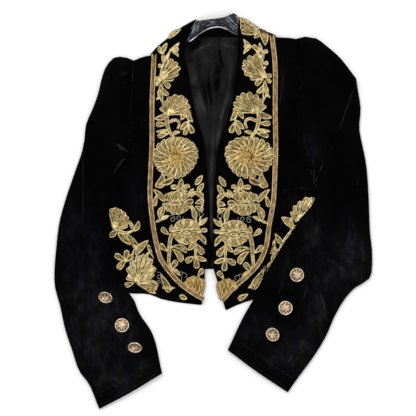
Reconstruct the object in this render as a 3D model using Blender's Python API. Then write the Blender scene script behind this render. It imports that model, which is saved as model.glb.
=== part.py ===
"""Cropped velvet evening jacket, laid flat on its back with both sleeves bent inward.

The tables hold millimetres in the plane that the jacket lies on: x to the right, y towards
the collar. Heights are millimetres above that plane. A piece is a wall of cloth between an
under skin and an upper skin, both heights over its cutting line, and each piece rests on the
pieces below it.
"""

import math

import bmesh
import bpy
import numpy as np
from mathutils import Matrix, Vector
from mathutils.geometry import delaunay_2d_cdt, intersect_line_line_2d

MM = 0.001

# Cloth thicknesses and the gap kept between neighbouring pieces
BACK_CLOTH = 2.0
VELVET = 2.2
LAPEL_CLOTH = 2.4
SLEEVE_CLOTH = 2.0
LINING_CLOTH = 1.0
SEAM_GAP = 0.35
LAPEL_GAP = 0.5
SLEEVE_GAP = 0.8
LINING_LAYER = SEAM_GAP + LINING_CLOTH + SEAM_GAP

# Fullness of the pieces
FRONT_CROWN = 2.2
FRONT_CROWN_REACH = 45.0
SLEEVE_HOLLOW = 3.2
SLEEVE_EDGE_ROUND = 16.0
HEAD_PUFF = 15.0
HEAD_PUFF_REACH = 30.0
HEAD_PUFF_LENGTH = 80.0
HEAD_CONTOURS = (3.0, 12.0)
HEAD_CONTOUR_FOOT = 35.0
ARMPIT_RISE = 36.0

# How a piece comes down beside the one it lies on: level for a bit, then a slope
STEP_LEVEL = 1.5
STEP_SLOPE = 15.0
HEM_SLOPE = 24.0
SHOULDER_LEVEL = 3.0
SHOULDER_SLOPE = 1.8

# Spacing of the points on rims and skins
RIM_STEP = 14.0
BACK_RIM_STEP = 22.0
LAPEL_STEP = 14.0
LAPEL_UNDER_STEP = 22.0
FRONT_STEP = 17.0
FRONT_UNDER_STEP = 28.0
SLEEVE_STEP = 15.0
SLEEVE_UNDER_STEP = 32.0
BACK_STEP = 48.0
LINING_STEP = 12.0
LINING_UNDER_STEP = 26.0
LINE_CLEARANCE = 0.8
LINE_STEP = 12.0
SHORTEST_EDGE = 0.5
SHORTEST_INSET = 1.2
GRID_RIM_SHARE = 0.45
GRID_NEAR_SHARE = 0.6
SHARP_ANGLE = 40.0
MERGE_DISTANCE = 0.0001

# Goldwork, braid and buttons
GOLDWORK_RISE = 1.7
GOLDWORK_EDGE = 1.3
GOLDWORK_SHOWS = 0.3
TIER_RISE = 0.9
SCALLOP_DEPTH = 0.16
FAN_TAPER = 0.3
MOTIF_APART = 1.06
MOTIF_REACH = 1.2
COVER_LINE = 1.2
BRAID_WIDTH = 9.5
BRAID_STEP = 10.0
BRAID_CLOTH = 1.0
BRAID_CORD = 0.8
BRAID_TOP_INSET = 7.0
BRAID_INSETS = (0.6, 2.4, 7.1, BRAID_WIDTH)
BRAID_CLEARANCE = 1.0
LAPEL_RIM = 1.5
LAPEL_RIM_LOW = 6.0
LAPEL_RIM_CHANGE = 70.0
BUTTON_RADIUS = 13.5
BUTTON_SIDES = 12

# Armhole seams, from the shoulder to the armpit: x, y
LEFT_ARMHOLE = ((-143, 271), (-146, 227), (-149, 182), (-150, 137), (-152, 99))
RIGHT_ARMHOLE = ((149, 310), (154, 254), (158, 200), (162, 146), (169, 96), (185, 42))

# Side edges of the body under the sleeves, from the armpit to the hem: x, y
LEFT_SIDE = ((-152, 99), (-179, 78), (-193, 47), (-199, 2), (-197, -43), (-191, -88), (-182, -135))
RIGHT_SIDE = ((185, 42), (190, 20), (185, -16), (172, -70), (162, -128))

# Shoulder edges of front and back, from the armhole to the neck: x, y
LEFT_SHOULDER = ((-143, 271), (-121, 279), (-110, 280), (-99, 288.5), (-60, 323), (-42.5, 334.5))
RIGHT_SHOULDER = ((149, 310), (134, 312), (112, 313), (90, 320.5), (66, 333), (48.5, 342.5))

# Edges of the lapels over the shoulders, from the braid to the neck: x, y
LEFT_LAPEL_TOP = ((-113, 282), (-104, 293), (-80, 313), (-56, 332), (-30, 346))
RIGHT_LAPEL_TOP = ((112, 317), (90, 326), (66, 338), (45, 350))

# Roll lines, the inner edges of the lapels, from the neck to the point at the hem: x, y
LEFT_ROLL = ((-30, 346), (-39, 330), (-47, 315), (-52, 296), (-42, 233), (-35, 191), (-28, 164), (-17, 128),
             (-13, 92), (-10, 56), (-8, 20), (-6, -25), (-3.5, -70), (-4, -92), (-14, -102),
             (-15, -123), (-17, -135), (-20, -168))
RIGHT_ROLL = ((45, 350), (45.8, 332), (46, 313), (44, 281), (39, 232), (35, 200), (28, 173), (17, 142),
              (8, 110), (4, 74), (2, 38), (-0.5, -25), (-1, -79), (1, -106), (5, -119),
              (10, -136), (15, -153), (22, -178))
ROLL_OVERHANG = 2.0

# Outer edges of the braid, from the shoulder to the point: x, y
LEFT_BRAID = ((-111, 283), (-114, 218), (-115, 182), (-115, 121), (-118, 56), (-118, 20),
              (-114, -16), (-111, -38), (-102, -79), (-92, -99), (-73, -123), (-55, -140),
              (-33, -155), (-19, -162))
RIGHT_BRAID = ((110, 318), (116, 260), (116, 182), (117, 121), (116, 81), (113, 20), (105, -27),
               (100, -62), (87, -94), (65, -119), (43, -138), (20, -163))

# Hems, from the point of the lapel to the side: x, y
LEFT_HEM = ((-22, -169), (-64, -164), (-94, -158), (-114, -150), (-153, -147), (-182, -135))
RIGHT_HEM = ((24, -178), (43, -169), (72, -159), (115, -143), (162, -128))
BACK_HEM_TOP = -90.0
BACK_HEM = ((-182, -135), (-120, -118), (-60, -108), (0, -104), (60, -108), (120, -117), (162, -128))

# Neckline of the back, and the seam where the collar band stands on it: x, y
NECKLINE = ((-42.5, 334.5), (-36, 322), (-24, 326), (-8, 333), (10, 336), (25, 333), (38, 330), (48.5, 342.5))
FACING_SEAM = 313.0
LINING_HEM = -98.0
UNDER_FRONTS = 12.0

# Outer edges of the sleeves, from the shoulder round the puffed head to the cuff: x, y
LEFT_SLEEVE_OUTER = ((-143, 271), (-155, 276), (-168, 278), (-179, 276), (-188, 267), (-195, 256),
                     (-199, 245), (-208, 209), (-218, 182), (-229, 156), (-232, 128), (-235, 112),
                     (-248, 73), (-267, 17), (-276, -16), (-283, -70), (-285, -92), (-284.5, -138),
                     (-277, -165), (-266, -214), (-254, -250), (-239, -291), (-227, -306),
                     (-205, -356))
RIGHT_SLEEVE_OUTER = ((149, 310), (165, 314), (185, 311), (203, 298), (230, 274), (250, 248),
                      (257, 239), (260, 219), (265, 186), (263, 145), (266, 129), (274, 91),
                      (279, 36), (282, -37), (286, -85), (281, -121), (255, -138), (216, -194),
                      (207, -216), (134, -326))

# Cuff edges, from the outer to the inner corner: x, y
LEFT_CUFF = ((-205, -356), (-150, -327), (-92, -292))
RIGHT_CUFF = ((134, -326), (80, -290), (26, -250))

# Inner edges of the sleeves, from the cuff to the armpit: x, y
LEFT_SLEEVE_INNER = ((-92, -292), (-112, -215), (-134, -182), (-142, -161), (-152, -146),
                     (-175, -106), (-186, -61), (-187, 11), (-182, 60), (-168, 81), (-152, 99))
RIGHT_SLEEVE_INNER = ((26, -250), (58, -183), (72, -159), (82, -138), (102, -100), (122, -66),
                      (152, -23), (183, 22), (185, 42))

# Collar band, section by section from left to right: foot x, y, fold x, y, height of the fold
COLLAR_BAND = (
    (-49.0, 303.5, -30.5, 342.5, 11),
    (-40.0, 307.5, -27.0, 342.5, 13),
    (-33.0, 312.5, -20.0, 343.0, 16),
    (-25.0, 319.0, -12.0, 344.0, 19),
    (-15.0, 324.0, -5.0, 345.0, 21),
    (-4.0, 328.5, 4.0, 345.5, 22),
    (10.0, 331.0, 13.0, 347.0, 22),
    (24.0, 327.5, 22.0, 349.0, 20),
    (33.0, 322.0, 30.0, 353.0, 18),
    (39.0, 318.5, 37.0, 356.0, 15),
    (45.0, 316.5, 43.0, 352.0, 12),
)
BAND_CLOTH = 2.2
BAND_FOOT = 4.1

# Section of the band: the share of its reach and rise where it bends, and its rounded fold in cloths
BAND_BEND = 0.45
BAND_BEND_RISE = 0.40
FOLD_START = 1.6
FOLD_END = 0.6
FOLD_DROP = 1.2
FALL_MIDDLE = 0.5
FALL_LEAN = (0.5, 1.2)

# Folds of the back lining, which fade out towards the fronts: from x, y, to x, y, height, half width
LINING_FOLD_FADE = 9.0
LINING_FOLDS = (
    (14, 306, 9, 60, 2.6, 8),
    (-22, 296, -8, 196, 1.4, 9),
    (33, 286, 22, 206, 1.2, 8),
    (-16, 170, 0, 96, 1.3, 8),
)

# Folds of the fronts: from x, y, to x, y, height, half width
LEFT_FRONT_FOLDS = (
    (-126, 240, -131, 150, 1.0, 8),
    (-124, 60, -166, 40, 1.3, 9),
)
RIGHT_FRONT_FOLDS = (
    (126, 204, 122, 140, 1.4, 8),
    (136, 44, 176, 42, 1.5, 8),
    (122, 22, 144, 47, 1.2, 7),
)

# Folds of the sleeves, the gathers of the head first: from x, y, to x, y, height, half width
LEFT_SLEEVE_FOLDS = (
    (-146, 262, -178, 262, 2.0, 6),
    (-147, 246, -186, 240, 2.4, 7),
    (-148, 229, -188, 216, 2.2, 7),
    (-149, 211, -182, 194, 1.8, 7),
    (-150, 192, -176, 174, 1.5, 7),
    (-233, 126, -233, -126, 1.3, 7),
    (-182, 134, -156, 110, 1.6, 8),
    (-158, 102, -184, 64, 1.6, 8),
    (-232, -130, -206, -262, 1.5, 9),
    (-236, -136, -258, -186, 1.3, 8),
    (-158, -152, -216, -176, 2.2, 9),
    (-146, -176, -196, -214, 1.7, 9),
)
RIGHT_SLEEVE_FOLDS = (
    (153, 302, 188, 294, 2.0, 6),
    (155, 284, 206, 270, 2.4, 7),
    (157, 265, 214, 242, 2.2, 7),
    (158, 245, 204, 218, 1.8, 7),
    (160, 224, 196, 196, 1.5, 7),
    (254, 218, 192, 66, 1.7, 8),
    (196, 12, 232, -26, 1.8, 9),
    (190, -34, 248, -70, 2.2, 10),
    (188, -62, 262, -104, 2.2, 10),
    (180, -92, 240, -126, 1.8, 9),
    (168, -138, 150, -190, 1.2, 8),
)

# Goldwork of a lapel, top to point: kind, x, y, across, along, turn in degrees, lobes
LAPEL_GOLDWORK = (
    ("leaf", -68, 313, 8, 18, -55, 0),
    ("leaf", -91, 293, 9, 20, 30, 0),
    ("fan", -69, 291, 15, 22, 0, 3),
    ("leaf", -85, 276, 7, 16, 55, 0),
    ("fan", -80, 247, 38, 44, 0, 7),
    ("leaf", -93, 214, 8, 22, 30, 0),
    ("bloom", -72, 188, 60, 42, 0, 9),
    ("leaf", -94, 153, 9, 24, -20, 0),
    ("leaf", -45, 154, 9, 26, 25, 0),
    ("leaf", -75, 149, 6, 24, 16, 0),
    ("rosette", -67, 96, 74, 74, 0, 18),
    ("leaf", -90, 51, 9, 26, -60, 0),
    ("leaf", -25, 57, 8, 14, 20, 0),
    ("leaf", -22, 41, 8, 13, -20, 0),
    ("leaf", -57, 46, 9, 26, 80, 0),
    ("bloom", -62, 15, 54, 36, 0, 9),
    ("leaf", -98, 14, 9, 24, -20, 0),
    ("leaf", -24, 12, 9, 24, 15, 0),
    ("bloom", -46, -37, 60, 46, 0, 9),
    ("leaf", -88, -62, 9, 22, -35, 0),
    ("leaf", -67, -79, 9, 28, 60, 0),
    ("leaf", -25, -79, 10, 26, 25, 0),
    ("leaf", -45, -91, 8, 20, -20, 0),
    ("leaf", -64, -104, 7, 18, -35, 0),
    ("leaf", -23, -112, 6, 14, 0, 0),
    ("fan", -35, -131, 27, 25, 180, 7),
)

# Where the right lapel's goldwork lies: mirrored about this line, and moved up or down
MIRROR_LINE = -3.3
RIGHT_SHIFT = 2.0
RIGHT_SHIFT_SLOPE = 0.03
RIGHT_SHIFT_MOST = 5.0

# Goldwork on the lower corners of the fronts: kind, x, y, across, along, turn, lobes
LEFT_FRONT_GOLDWORK = (
    ("fan", -166, -12, 28, 34, -20, 6),
    ("leaf", -142, -27, 8, 24, 35, 0),
    ("leaf", -154, -52, 8, 28, -50, 0),
    ("leaf", -129, -65, 8, 28, -45, 0),
    ("bloom", -130, -106, 48, 54, 0, 9),
    ("leaf", -166, -86, 10, 22, 65, 0),
    ("leaf", -117, -141, 7, 26, 85, 0),
    ("leaf", -91, -131, 8, 30, 35, 0),
    ("leaf", -53, -156, 5, 14, 80, 0),
)
RIGHT_FRONT_GOLDWORK = (
    ("fan", 162, 8, 30, 40, 20, 6),
    ("leaf", 137, -18, 8, 24, -35, 0),
    ("leaf", 131, -43, 7, 24, 45, 0),
    ("leaf", 112, -62, 7, 26, 20, 0),
    ("leaf", 104, -86, 6, 18, -15, 0),
    ("leaf", 79, -126, 6, 32, -28, 0),
    ("leaf", 52, -156, 5, 13, -75, 0),
)

# Cuff buttons: x, y, tilt in degrees, direction of the tilt
LEFT_BUTTONS = ((-194, -156, 14, 150), (-164, -205, 4, 200), (-141, -246, 16, 330))
RIGHT_BUTTONS = ((150, -114, 8, 30), (130, -174, 6, 220), (106, -222, 8, 200))

# Turned profile of a button from its shank to the middle of its face: radius, height
SHANK_RADIUS = 2.6
SHANK_LENGTH = 3.4
BUTTON_GAP = 0.6
BUTTON_PROFILE = ((0, -SHANK_LENGTH), (SHANK_RADIUS, -SHANK_LENGTH), (SHANK_RADIUS, -0.8),
                  (12.4, -0.4), (BUTTON_RADIUS, 0.9), (12.8, 2.4), (11.2, 1.8), (7.4, 2.7),
                  (3.0, 3.4), (0, 3.6))


def limit(value, low=0.0, high=1.0):
    return max(low, min(high, value))


def soft_step(share):
    """0 to 1 with a level start and end."""
    share = limit(share)
    return share * share * (3 - 2 * share)


def swell(share):
    """0 to 1 along a parabola, sloping at first and level at last."""
    return 1 - (1 - limit(share)) ** 2


def quarter_round(share):
    """0 to 1 along a quarter circle, steep at first and level at last."""
    return math.sqrt(1 - (1 - limit(share)) ** 2)


def runs(points, keep):
    """The stretches of a line whose points are kept."""
    found = [[]]
    for point in points:
        if keep(*point):
            found[-1].append(point)
        elif found[-1]:
            found.append([])
    return [run for run in found if len(run) > 1]


def smooth_curve(rows, step):
    """Points about one step apart on a smooth curve through the rows."""
    knots = [Vector(row[:2]) for row in rows]
    chords = [(b - a).length for a, b in zip(knots, knots[1:])]
    slopes = [(b - a) / chord for a, b, chord in zip(knots, knots[1:], chords)]
    tangents = [slopes[0]]
    for before, after, left, right in zip(slopes, slopes[1:], chords, chords[1:]):
        tangents.append((before * right + after * left) / (left + right))
    tangents.append(slopes[-1])
    points = []
    for i, chord in enumerate(chords):
        count = max(1, round(chord / step))
        for k in range(count):
            t = k / count
            point = knots[i] * (2 * t ** 3 - 3 * t ** 2 + 1)
            point += knots[i + 1] * (3 * t ** 2 - 2 * t ** 3)
            point += tangents[i] * chord * (t ** 3 - 2 * t ** 2 + t)
            point += tangents[i + 1] * chord * (t ** 3 - t ** 2)
            points.append((point.x, point.y))
    points.append(tuple(knots[-1]))
    return points


def shifted(rows, dx):
    return tuple((x + dx, y) for x, y in rows)


def beside(points, distance):
    """The line at a distance to the left of a run of points."""
    line = []
    for i, (x, y) in enumerate(points):
        x0, y0 = points[max(i - 1, 0)]
        x1, y1 = points[min(i + 1, len(points) - 1)]
        length = math.hypot(x1 - x0, y1 - y0)
        gap = distance(y) if callable(distance) else distance
        line.append((x - (y1 - y0) / length * gap, y + (x1 - x0) / length * gap))
    return line


class Outline:
    """A closed cutting line, and how far a point lies inside or outside it."""

    def __init__(self, *edges, step=RIM_STEP):
        points = []
        for rows in edges:
            points += smooth_curve(rows, step)[:-1]
        doubled_area = sum(x0 * y1 - x1 * y0 for (x0, y0), (x1, y1)
                           in zip(points, points[1:] + points[:1]))
        if doubled_area < 0:
            points.reverse()
        self.measure(points)

    def measure(self, points):
        self.points = points
        self.start = np.array(points)
        self.along = np.roll(self.start, -1, axis=0) - self.start
        self.squares = (self.along ** 2).sum(axis=1)

    def add_crossings(self, lines):
        """Put a point wherever one of the lines crosses the outline."""
        points = []
        for a, b in zip(self.points, self.points[1:] + self.points[:1]):
            found = []
            for line in lines:
                for c, d in zip(line, line[1:]):
                    if min(c[0], d[0]) > max(a[0], b[0]) or max(c[0], d[0]) < min(a[0], b[0]):
                        continue
                    hit = intersect_line_line_2d(Vector(a), Vector(b), Vector(c), Vector(d))
                    if hit is not None:
                        found.append((math.dist(a, hit), (hit.x, hit.y)))
            points.append(a)
            length = math.dist(a, b)
            for reach, point in sorted(found):
                if min(math.dist(points[-1], point), length - reach) > SHORTEST_EDGE:
                    points.append(point)
        self.measure(points)

    def distance(self, x, y):
        reach = np.array((x, y)) - self.start
        share = np.clip((reach * self.along).sum(axis=1) / self.squares, 0, 1)
        miss = reach - self.along * share[:, None]
        return math.sqrt((miss ** 2).sum(axis=1).min())

    def holds(self, x, y):
        above = self.start[:, 1] > y
        crossing = above != np.roll(above, -1)
        rise = np.where(crossing, self.along[:, 1], 1.0)
        meets = self.start[:, 0] + (y - self.start[:, 1]) * self.along[:, 0] / rise
        return int(np.count_nonzero(crossing & (x < meets))) % 2 == 1

    def inside(self, x, y):
        return self.distance(x, y) if self.holds(x, y) else 0.0

    def outside(self, x, y):
        return 0.0 if self.holds(x, y) else self.distance(x, y)

    def around(self, distance):
        """The loop at a distance outside the outline."""
        loop = self.points + self.points[:2]
        return beside(loop, -distance)[1:]


class Fold:
    """A soft ridge along a straight line."""

    def __init__(self, row):
        self.x, self.y, end_x, end_y, self.height, self.half_width = row
        self.length = math.hypot(end_x - self.x, end_y - self.y)
        self.dx = (end_x - self.x) / self.length
        self.dy = (end_y - self.y) / self.length

    def rise(self, x, y):
        along = (x - self.x) * self.dx + (y - self.y) * self.dy
        across = (y - self.y) * self.dx - (x - self.x) * self.dy
        if abs(across) >= self.half_width or not 0 < along < self.length:
            return 0.0
        ends = swell(min(along, self.length - along) / (2 * self.half_width))
        return self.height * ends * (1 - (across / self.half_width) ** 2) ** 2

    def lines(self):
        """The ridge and the two feet of the fold."""
        count = max(2, round(self.length / LINE_STEP))
        ridge = [(self.x + self.dx * self.length * k / count,
                  self.y + self.dy * self.length * k / count) for k in range(count + 1)]
        return [ridge, beside(ridge, self.half_width), beside(ridge, -self.half_width)]


class Motif:
    """A flower or leaf of raised goldwork, told by the shape of its edge round its middle."""

    TIERS = {"rosette": (1.0, 0.68, 0.36), "bloom": (1.0, 0.42), "fan": (1.0, 0.5), "leaf": (1.0,)}

    def __init__(self, kind, x, y, across, along, turn, lobes):
        self.kind = kind
        self.x = x
        self.y = y
        self.half_across = across / 2
        self.half_along = along / 2
        self.turn = math.radians(turn)
        self.lobes = lobes
        self.tiers = self.TIERS[kind]

    def edge(self, angle):
        """Share of the half sizes that the edge reaches, angle 0 being the tip."""
        if self.kind == "leaf":
            across = abs(math.sin(angle))
            along = math.cos(angle) ** 2
            if along < 0.0001:
                return 1.0
            return (math.sqrt(across ** 2 + 4 * along) - across) / (2 * along)
        scallop = 1 - SCALLOP_DEPTH * (1 - abs(math.cos(self.lobes * angle / 2)))
        if self.kind == "fan":
            return scallop * (1 - FAN_TAPER * (1 - math.cos(angle / 2)))
        return scallop

    def reach(self, x, y):
        """0 at the middle, 1 at the edge."""
        dx = x - self.x
        dy = y - self.y
        across = (dx * math.cos(self.turn) + dy * math.sin(self.turn)) / self.half_across
        along = (dy * math.cos(self.turn) - dx * math.sin(self.turn)) / self.half_along
        return math.hypot(across, along) / self.edge(math.atan2(across, along))

    def rise(self, x, y):
        reach = self.reach(x, y)
        height = 0.0
        for level, tier in enumerate(self.tiers):
            slope = (tier - reach) * self.half_across / GOLDWORK_EDGE
            height += (TIER_RISE if level else GOLDWORK_RISE) * limit(slope)
        return height

    def loops(self):
        """The foot and the brow of each tier."""
        loops = []
        for tier in self.tiers:
            count = max(2 * self.lobes, 8) if tier == 1.0 else max(self.lobes, 8)
            for inset in (0.0, GOLDWORK_EDGE / self.half_across):
                share = tier - inset
                if share * self.half_across < SHORTEST_INSET:
                    continue
                loops.append([self.place(share, math.tau * k / count) for k in range(count)])
        return [loop + loop[:1] for loop in loops]

    def place(self, share, angle):
        reach = share * self.edge(angle)
        across = reach * math.sin(angle) * self.half_across
        along = reach * math.cos(angle) * self.half_along
        return (self.x + across * math.cos(self.turn) - along * math.sin(self.turn),
                self.y + across * math.sin(self.turn) + along * math.cos(self.turn))


def goldwork_rise(motifs, x, y):
    return max((motif.rise(x, y) for motif in motifs), default=0.0)


def goldwork_lines(motifs):
    """Loops of the motifs, without the stretches that lie in another motif."""
    lines = []
    for motif in motifs:
        others = [other for other in motifs if other is not motif]

        def alone(x, y, others=others):
            return all(other.reach(x, y) >= MOTIF_APART for other in others)

        for loop in motif.loops():
            lines += runs(loop, alone)
    return lines


def mirrored_goldwork(rows):
    """The right lapel's goldwork, which answers the left one's."""
    mirrored = []
    for kind, x, y, across, along, turn, lobes in rows:
        shift = min(RIGHT_SHIFT_MOST, RIGHT_SHIFT + RIGHT_SHIFT_SLOPE * y)
        mirrored.append((kind, 2 * MIRROR_LINE - x, y + shift, across, along, -turn, lobes))
    return mirrored


class Layer:
    """A piece's outline with the heights of its two skins."""

    def __init__(self, outline, under, top):
        self.outline = outline
        self.under = under
        self.top = top


def resting_on(layers, x, y, gap=SEAM_GAP, level=STEP_LEVEL, slope=STEP_SLOPE):
    """Height at which cloth lies on the layers, coming down beside each of them."""
    height = 0.0
    for layer in layers:
        share = 1 - limit((layer.outline.outside(x, y) - level) / slope)
        if share > 0:
            height = max(height, share * (layer.top(x, y) + gap))
    return height


def steps_beside(layers, level=STEP_LEVEL, slope=STEP_SLOPE):
    """Lines along which cloth bends as it comes down beside the layers."""
    lines = []
    for layer in layers:
        lines.append(layer.outline.around(level))
        lines.append(layer.outline.around(level + slope))
    return lines


def folds_rise(folds, x, y):
    return max((fold.rise(x, y) for fold in folds), default=0.0)


def folds_lines(folds):
    return [line for fold in folds for line in fold.lines()]


def material(name, colour, roughness, metallic=0.0):
    made = bpy.data.materials.new(name)
    made.use_nodes = True
    shader = made.node_tree.nodes["Principled BSDF"]
    shader.inputs["Base Color"].default_value = (*colour, 1.0)
    shader.inputs["Roughness"].default_value = roughness
    shader.inputs["Metallic"].default_value = metallic
    return made


def add_object(name, bm, materials):
    """Turn a finished bmesh into an object with smooth shading between its sharp edges."""
    bmesh.ops.recalc_face_normals(bm, faces=bm.faces)
    mesh = bpy.data.meshes.new(name)
    bm.to_mesh(mesh)
    bm.free()
    for made in materials:
        mesh.materials.append(made)
    mesh.shade_smooth()
    mesh.set_sharp_from_angle(angle=math.radians(SHARP_ANGLE))
    made_object = bpy.data.objects.new(name, mesh)
    bpy.context.collection.objects.link(made_object)
    return made_object


def skin(bm, outline, height, step, lines):
    """Triangles over an outline at the given heights, and the vertices of its rim in order."""
    points = list(outline.points)
    edges = [(i, (i + 1) % len(points)) for i in range(len(points))]
    for line in lines:
        last = None
        for point in line:
            if outline.inside(*point) < LINE_CLEARANCE:
                last = None
                continue
            points.append(point)
            if last is not None:
                edges.append((last, len(points) - 1))
            last = len(points) - 1
    fixed = np.array(points)
    low = fixed.min(axis=0)
    high = fixed.max(axis=0)
    row_height = step * math.sqrt(3) / 2
    for row in range(int((high[1] - low[1]) / row_height) + 1):
        y = low[1] + row * row_height
        for column in range(int((high[0] - low[0]) / step) + 1):
            x = low[0] + (column + 0.5 * (row % 2)) * step
            near = np.hypot(fixed[:, 0] - x, fixed[:, 1] - y).min()
            if near > GRID_NEAR_SHARE * step and outline.inside(x, y) > GRID_RIM_SHARE * step:
                points.append((x, y))
    inside_only = 1
    flat_points = [Vector(point) for point in points]
    found = delaunay_2d_cdt(flat_points, edges, [], inside_only, MERGE_DISTANCE)
    corners, faces, sources = found[0], found[2], found[3]
    vertices = [bm.verts.new((p.x * MM, p.y * MM, height(p.x, p.y) * MM)) for p in corners]
    for face in faces:
        bm.faces.new([vertices[i] for i in face])
    rim = {}
    for vertex, source in zip(vertices, sources):
        for i in source:
            rim[i] = vertex
    return [rim[i] for i in range(len(outline.points))]


def cloth_piece(name, layer, materials, step, lines=(), under_step=None, under_lines=None, gold=()):
    """One piece of cloth: an upper and an under skin joined round the rim."""
    bm = bmesh.new()
    top_rim = skin(bm, layer.outline, layer.top, step, lines)
    for face in bm.faces:
        middle = face.calc_center_median() / MM
        face.material_index = int(goldwork_rise(gold, middle.x, middle.y) > GOLDWORK_SHOWS)
    upper = set(bm.faces)
    under_rim = skin(bm, layer.outline, layer.under, under_step or step,
                     lines if under_lines is None else under_lines)
    under = [face for face in bm.faces if face not in upper]
    bmesh.ops.reverse_faces(bm, faces=under)
    count = len(top_rim)
    for i in range(count):
        j = (i + 1) % count
        bm.faces.new((top_rim[j], top_rim[i], under_rim[i], under_rim[j]))
    return add_object(name, bm, materials)


def sewn_strip(name, sections, materials):
    """A strip through closed sections with the same number of points, capped at both ends."""
    bm = bmesh.new()
    rings = [[bm.verts.new(Vector(point) * MM) for point in section] for section in sections]
    for ring, following in zip(rings, rings[1:]):
        count = len(ring)
        for i in range(count):
            j = (i + 1) % count
            bm.faces.new((ring[i], ring[j], following[j], following[i]))
    bm.faces.new(reversed(rings[0]))
    bm.faces.new(rings[-1])
    bmesh.ops.triangulate(bm, faces=bm.faces)
    return add_object(name, bm, materials)


def back_layer():
    outline = Outline(
        shifted(LEFT_ARMHOLE, SEAM_GAP / 2), LEFT_SIDE, BACK_HEM,
        tuple(reversed(RIGHT_SIDE)), shifted(reversed(RIGHT_ARMHOLE), -SEAM_GAP / 2),
        RIGHT_SHOULDER, tuple(reversed(NECKLINE)), tuple(reversed(LEFT_SHOULDER)),
        step=BACK_RIM_STEP)
    return Layer(outline, lambda x, y: 0.0, lambda x, y: BACK_CLOTH)


def lining_layer(folds):
    """The back lining between the fronts, with a little of it under each of them."""
    left = [(x - UNDER_FRONTS, y) for x, y in LEFT_ROLL if LINING_HEM < y < FACING_SEAM]
    right = [(x + UNDER_FRONTS, y) for x, y in RIGHT_ROLL if LINING_HEM < y < FACING_SEAM]
    top = FACING_SEAM - SEAM_GAP
    left = [(-61, top)] + left + [(-20, LINING_HEM)]
    right = [(57, top)] + right + [(16, LINING_HEM)]
    outline = Outline(left, (left[-1], right[-1]), tuple(reversed(right)), (right[0], left[0]))
    floor = BACK_CLOTH + SEAM_GAP

    def top(x, y):
        shown = limit((outline.inside(x, y) - UNDER_FRONTS) / LINING_FOLD_FADE)
        return floor + LINING_CLOTH + shown * folds_rise(folds, x, y)

    return Layer(outline, lambda x, y: floor, top)


def facing_layer():
    """The strip of velvet between the collar seam and the lining."""
    outline = Outline(
        ((-66, FACING_SEAM), (61, FACING_SEAM)), ((61, FACING_SEAM), (54, 325)),
        ((54, 325), (36, 328), (24, 331), (10, 334), (-8, 331), (-24, 324), (-38, 320), (-60, 320)),
        ((-60, 320), (-66, FACING_SEAM)))
    floor = BACK_CLOTH + SEAM_GAP
    return Layer(outline, lambda x, y: floor, lambda x, y: floor + LINING_CLOTH)


def front_layer(side, back, folds):
    """A front panel over the back and its lining, and past them to its pointed hem."""
    if side < 0:
        armhole, edge, shoulder = LEFT_ARMHOLE, LEFT_SIDE, LEFT_SHOULDER
        roll, hem = LEFT_ROLL, LEFT_HEM
    else:
        armhole, edge, shoulder = RIGHT_ARMHOLE, RIGHT_SIDE, RIGHT_SHOULDER
        roll, hem = RIGHT_ROLL, RIGHT_HEM
    inner = [shoulder[-1]] + [(x + side * ROLL_OVERHANG, y) for x, y in roll[1:-1]] + [hem[0]]
    outline = Outline(shifted(armhole, -side * SEAM_GAP / 2), edge, tuple(reversed(hem)),
                      tuple(reversed(inner)), tuple(reversed(shoulder)))
    outline.add_crossings(steps_beside((back,), STEP_LEVEL, HEM_SLOPE))

    def under(x, y):
        crown = FRONT_CROWN * swell(outline.inside(x, y) / FRONT_CROWN_REACH)
        crown *= limit(back.outline.inside(x, y) / FRONT_CROWN_REACH)
        return resting_on((back,), x, y, LINING_LAYER, STEP_LEVEL, HEM_SLOPE) + crown

    return Layer(outline, under, lambda x, y: under(x, y) + VELVET + folds_rise(folds, x, y))


def lapel_rim(y):
    """How far the velvet of the lapel reaches past the braid."""
    return LAPEL_RIM + (LAPEL_RIM_LOW - LAPEL_RIM) * soft_step(-y / LAPEL_RIM_CHANGE)


def braid_edge(side, step=RIM_STEP):
    return smooth_curve(LEFT_BRAID if side < 0 else RIGHT_BRAID, step)


def braid_strip(side):
    """The outline of the braid."""
    outer = braid_edge(side)
    inner = beside(outer, -side * BRAID_WIDTH)
    return Outline(outer, (outer[-1], inner[-1]), tuple(reversed(inner)), (inner[0], outer[0]))


def lapel_layer(side, below):
    """A shawl lapel on its front, from the shoulder to the point, rolled over both edges."""
    roll, top = (LEFT_ROLL, LEFT_LAPEL_TOP) if side < 0 else (RIGHT_ROLL, RIGHT_LAPEL_TOP)
    outer = beside(braid_edge(side), lambda y: side * lapel_rim(y))
    outer = [top[0]] + outer[1:-1] + [roll[-1]]
    outline = Outline(roll, tuple(reversed(outer)), top)
    outline.add_crossings(steps_beside(below, SHOULDER_LEVEL, SHOULDER_SLOPE))

    def under(x, y):
        return resting_on(below, x, y, LAPEL_GAP, SHOULDER_LEVEL, SHOULDER_SLOPE)

    return Layer(outline, under, lambda x, y: under(x, y) + LAPEL_CLOTH)


def with_goldwork(layer, motifs, covered_by=None):
    """The same layer with its upper skin raised by the motifs, apart from a covered part."""

    def top(x, y):
        rise = goldwork_rise(motifs, x, y)
        if rise > 0 and covered_by is not None:
            rise *= limit((covered_by.outside(x, y) - COVER_LINE) / GOLDWORK_EDGE)
        return layer.top(x, y) + rise

    return Layer(layer.outline, layer.under, top)


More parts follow.
